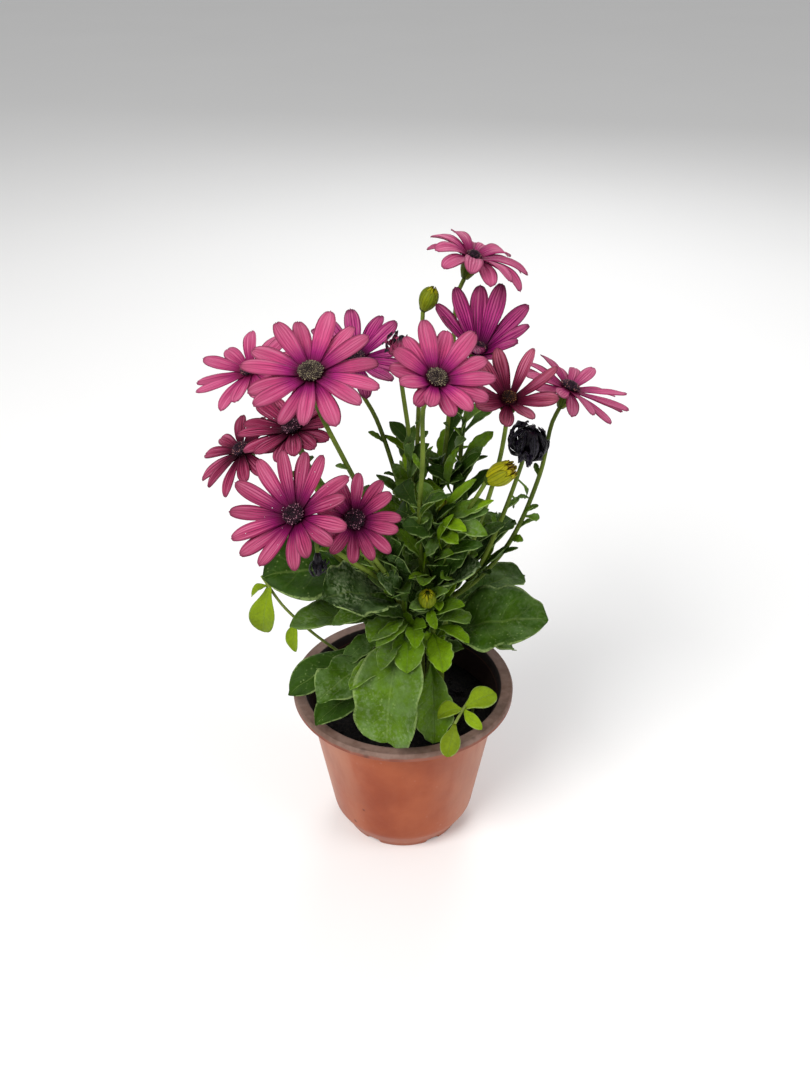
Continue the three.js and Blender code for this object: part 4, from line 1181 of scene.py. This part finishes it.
def shoot_piece(name, shoot, seed, finishes):
    """One leafy shoot with its stalks, calyxes, buds and leaves."""
    piece = Piece(f"{name}_leafy")
    trunk = Path(shoot["trunk"])
    part = tube(trunk, lambda share: TRUNK_RADIUS * (1 - 0.3 * share), 12, 16)
    piece.add(part, finishes["stalk"])
    paths = [stalk_path(stalk, trunk.at(0.97)) for stalk in shoot["stalks"]] + [trunk]
    for i, (stalk, path) in enumerate(zip(shoot["stalks"], paths)):
        part = tube(path, lambda share: STALK_RADIUS * (1.15 - 0.25 * share), 10, 28)
        piece.add(part, finishes["stalk"])
        if "bloom" in stalk:
            calyx(piece, BLOOMS[stalk["bloom"]], finishes["bract"])
        elif "bud" in stalk:
            bud(piece, stalk, seed + i, finishes["bract"], finishes["tuft"])
    for i, leaf in enumerate(shoot["leaves"]):
        shape = leaf_shape(trunk.at(leaf.at), leaf, seed + i)
        piece.add(blade(shape, 10, 40, leaf.tone, LEAF_THICKNESS), finishes["leaf"])
    small = [(paths[stalk].at(at), Vector(tip), width, tone)
             for stalk, at, tip, width, tone in shoot["small"]]
    ovals = [*leaflets(paths, seed), *spray_leaves(paths, shoot["sprays"]),
             *fill_leaves(paths, shoot["fill"], seed), *small]
    for i, (root, tip, width, tone) in enumerate(ovals):
        shape = oval_shape(root, tip, width, seed + i)
        piece.add(blade(shape, 6, 16, tone, LEAF_THICKNESS), finishes["leaf"])
    return piece.done(name)


def withered_piece(number, head, finish):
    """A closed dead head: a core and crumpled petals that wrap round it."""
    seat, out, right, up = seat_of(head)
    seat = seat + out * GAP
    length, width = head.length, head.width
    piece = Piece(f"withered_{number}_crumpled")
    core = [(0, 0), (0.25, 0), (0.4, 0.25), (0.42, 0.6), (0.3, 0.9), (0, 1)]
    profile = [(width * radius, length * height) for radius, height in core]
    piece.add(lathe(profile, 16, seat, out), finish)
    for k in range(head.rays):
        angle = radians(GOLDEN_TURN * k + 20 * draw(number, k))
        direction, side = around(out, right, up, angle)
        stray = draw(number, k + 10) > 0.86
        girth = width * (0.56 + 0.32 * draw(number, k + 20))
        sweep = radians(70 + 80 * draw(number, k + 40))
        twist = spread(number, k + 60, 1.5)

        def shape(across, along):
            bend = 0.35 + sweep * along
            radius = girth * sin(bend)
            height = length * 0.6 - girth * cos(bend)
            if stray:
                radius = width * 0.3 + girth * along
                height = length * (0.2 + 1.1 * along - 0.9 * along * along)
            half = width * 0.17 * through([(0, 0.5), (0.5, 1), (0.85, 0.8), (1, 0.3)], along)
            lean = turned(side, out, twist * along)[0] * (half * across)
            crumple = noise.noise_vector(Vector((across * 1.9, along * 4.4, number * 9 + k)))
            crumple *= width * 0.13 * along
            return seat + direction * radius + out * height + lean + crumple

        piece.add(blade(shape, 5, 14, draw(number, k + 80), 0.35), finish)
    return piece.done(f"withered_head_{number}")


def seedling_piece(name, seedling, finishes):
    piece = Piece(f"{name}_leafy")
    piece.add(tube(Path(seedling["stem"]), lambda share: TENDRIL_RADIUS, 8, 30), finishes["stem"])
    for i, (root, tip, width) in enumerate(seedling["leaves"]):
        shape = oval_shape(Vector(root), Vector(tip), width, 74 + i, ROUND_OUTLINE, 0)
        piece.add(blade(shape, 8, 18, 0.3 + 0.6 * draw(5, i), 0.5), finishes["seedling"])
    return piece.done(name)


# Pot and soil

def body_radius(height):
    """The pot's outer radius between its bend and its neck."""
    return BEND_RADIUS + BODY_SLOPE * (height - BEND_HEIGHT)


def near(radius, height, *steps):
    """Points of an outline that are stepped off from one radius and height."""
    return [(radius + out, height + up) for out, up in steps]


def drill_drains(pot):
    """Cuts the drain holes through the pot's floor."""
    part = bmesh.new()
    for k in range(DRAINS):
        turn = radians(360 * (k + 0.5) / DRAINS)
        middle = DRAIN_CIRCLE * cos(turn), DRAIN_CIRCLE * sin(turn), FLOOR_TOP / 2
        bmesh.ops.create_cone(part, cap_ends=True, segments=24, radius1=DRAIN_RADIUS,
                              radius2=DRAIN_RADIUS, depth=2 * FLOOR_TOP,
                              matrix=Matrix.Translation(middle))
    bmesh.ops.scale(part, vec=(MM, MM, MM), verts=part.verts[:])
    drills = made("drills", part)
    cut = pot.modifiers.new("drain holes", "BOOLEAN")
    cut.object = drills
    cut.operation = "DIFFERENCE"
    cut.solver = "EXACT"
    graph = bpy.context.evaluated_depsgraph_get()
    holed = bpy.data.meshes.new_from_object(pot.evaluated_get(graph))
    pot.modifiers.clear()
    pot.data = holed
    bpy.data.meshes.remove(drills.data)


def pot_piece(finish):
    """The pot, spun from its outline, with notches in its foot and drain holes."""
    profile = [
        (0, 0), *near(PAD_RADIUS, 0, (0, 0), (0.3, 0.4), (1, RECESS)),
        *near(FOOT_RADIUS - FOOT_RING, 0, (0, RECESS), (0.5, 0.3), (0.8, 0)),
        *near(FOOT_RADIUS, 0, (-0.3, 0), (0, 0.3)),
        *near(FOOT_RADIUS, SKIRT_HEIGHT, (0.9, -0.4), (1.4, 0.3)),
        *near(BEND_RADIUS, BEND_HEIGHT, (-1, -2), (-0.2, -0.4), (1.4 * BODY_SLOPE, 1.4)),
        *((body_radius(height), height) for height in range(20, 85, 8)),
        *near(NECK_RADIUS, RIM_UNDERSIDE, (-0.1, -0.5), (0.5, 0)),
        *near(RIM_RADIUS, RIM_UNDERSIDE, (-0.7, 0.4), (-0.1, 1)),
        *near(RIM_RADIUS, RIM_TOP, (0, -1.4), (-0.3, -0.5), (-1, 0), (-3.2, -0.35)),
        *near(MOUTH_RADIUS, RIM_TOP, (1.4, 0), (0.2, -0.3), (-0.5, -1.2), (-0.9, -2.4)),
        (body_radius(INNER_SHOULDER) - WALL, INNER_SHOULDER), (BEND_RADIUS - WALL, BEND_HEIGHT),
        (FOOT_RADIUS, FLOOR_TOP), (0, FLOOR_TOP),
    ]
    part = lathe(profile, POT_SIDES)
    for vert in part.verts:
        radius = hypot(vert.co.x, vert.co.y)
        turn = degrees(atan2(vert.co.x, -vert.co.y)) % (360 / NOTCHES) - 180 / NOTCHES
        if vert.co.z < 0.35 and radius > FOOT_RADIUS - FOOT_RING and abs(turn) < NOTCH_TURN:
            vert.co.z = 0.9 * RECESS
    piece = Piece("pot_smooth")
    piece.add(part, finish)
    pot = piece.done("pot")
    drill_drains(pot)
    pot.data.set_sharp_from_angle(angle=radians(SHARP_FROM))
    return pot


def soil_piece(finish):
    """The soil, with a rough top that is strewn with crumbs."""
    outer = body_radius(SOIL_TOP) - WALL - GAP
    profile = [
        (0, FLOOR_TOP + GAP), (FOOT_RADIUS - 0.5, FLOOR_TOP + GAP),
        (BEND_RADIUS - WALL - GAP, BEND_HEIGHT),
        *((outer * ring / SOIL_RINGS, SOIL_TOP) for ring in range(SOIL_RINGS, -1, -1)),
    ]
    part = lathe(profile, 72)
    for vert in part.verts:
        if vert.co.z > SOIL_TOP - 0.1:
            spot = Vector((vert.co.x, vert.co.y, 0))
            vert.co.z += 1.3 * noise.noise(spot * 0.16) + 0.7 * noise.noise(spot * 0.5)
    piece = Piece("soil_crumbled")
    piece.add(part, finish)
    for i in range(CRUMBS):
        reach = (outer - 2) * sqrt(draw(3, i))
        angle = 2 * pi * draw(4, i)
        size = 0.5 + 1.3 * draw(6, i) ** 3
        place = Vector((reach * cos(angle), reach * sin(angle), SOIL_TOP + 0.4 * size))
        lean = Vector((draw(7, i) - 0.5, draw(8, i) - 0.5, 1)).normalized()
        piece.add(bead(place, lean, size, size * 0.7, draw(9, i)), finish, smooth=False)
    return piece.done("soil")


# Stage

def set_stage():
    """The floor, the lights and the camera."""
    part = bmesh.new()
    bmesh.ops.create_grid(part, x_segments=1, y_segments=1, size=FLOOR_REACH)
    floor = made("floor", part, [floor_finish()])
    floor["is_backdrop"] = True
    world = bpy.data.worlds.new("studio")
    world.use_nodes = True
    background = world.node_tree.nodes["Background"].inputs
    background["Color"].default_value = (1, 1, 1, 1)
    background["Strength"].default_value = SKY_LIGHT
    bpy.context.scene.world = world
    for name, place, target, size, power, colour in LIGHTS:
        lamp = bpy.data.lights.new(name, "AREA")
        lamp.shape = "DISK"
        lamp.size = size
        lamp.energy = power
        lamp.color = colour
        light = link(name, lamp)
        light.location = place
        light.rotation_euler = (Vector(target) - Vector(place)).to_track_quat("-Z", "Y").to_euler()
    lens = bpy.data.cameras.new("view")
    lens.lens = CAMERA_LENS
    lens.sensor_width = SENSOR
    camera = link("view", lens)
    camera.location = CAMERA_PLACE
    camera.rotation_euler = (radians(CAMERA_TILT), 0, 0)
    bpy.context.scene.camera = camera
    bpy.context.scene.view_settings.view_transform = "Standard"


set_stage()
pot_piece(pot_finish())
soil_piece(soil_finish())

finishes = {
    "stalk": stalk_finish("stalks", (72, 92, 16), (120, 140, 44)),
    "stem": stalk_finish("seedling stems", (96, 116, 32), (146, 162, 78)),
    "bract": bract_finish(),
    "leaf": leaf_finish("leaves", LEAF_SHADES, 1),
    "seedling": leaf_finish("seedling leaves", SEEDLING_SHADES, 0.1),
    "tuft": floret_finish("closed petals of a bud", (84, 50, 14), (170, 150, 24), (70, 34, 20)),
}
for place, (name, shoot) in enumerate(SHOOTS.items()):
    shoot_piece(name, shoot, 50 * (place + 1), finishes)

petals = {name: petal_finish(name, look) for name, look in LOOKS.items()}
florets = {name: floret_finish(f"{name} florets", *shades) for name, shades in FLORETS.items()}
drops = drop_finish()
for place, bloom in enumerate(BLOOMS, 1):
    petals_piece(f"{place:02d}", place, bloom, petals[bloom.look], drops)
    disc_piece(f"{place:02d}", bloom, florets[bloom.florets])

dry = withered_finish("withered petals", (20, 12, 26), 0.4)
wilting = withered_finish("wilting petals", (168, 58, 102), 0.72)
for place, head in enumerate(WITHERED, 1):
    withered_piece(place, head, wilting if head.wilting else dry)
for name, seedling in SEEDLINGS.items():
    seedling_piece(name, seedling, finishes)

boxes = {"cad": CAD_BOX, "visual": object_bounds()}
{key: [list(map(float, corner)) for corner in box] for key, box in boxes.items()}
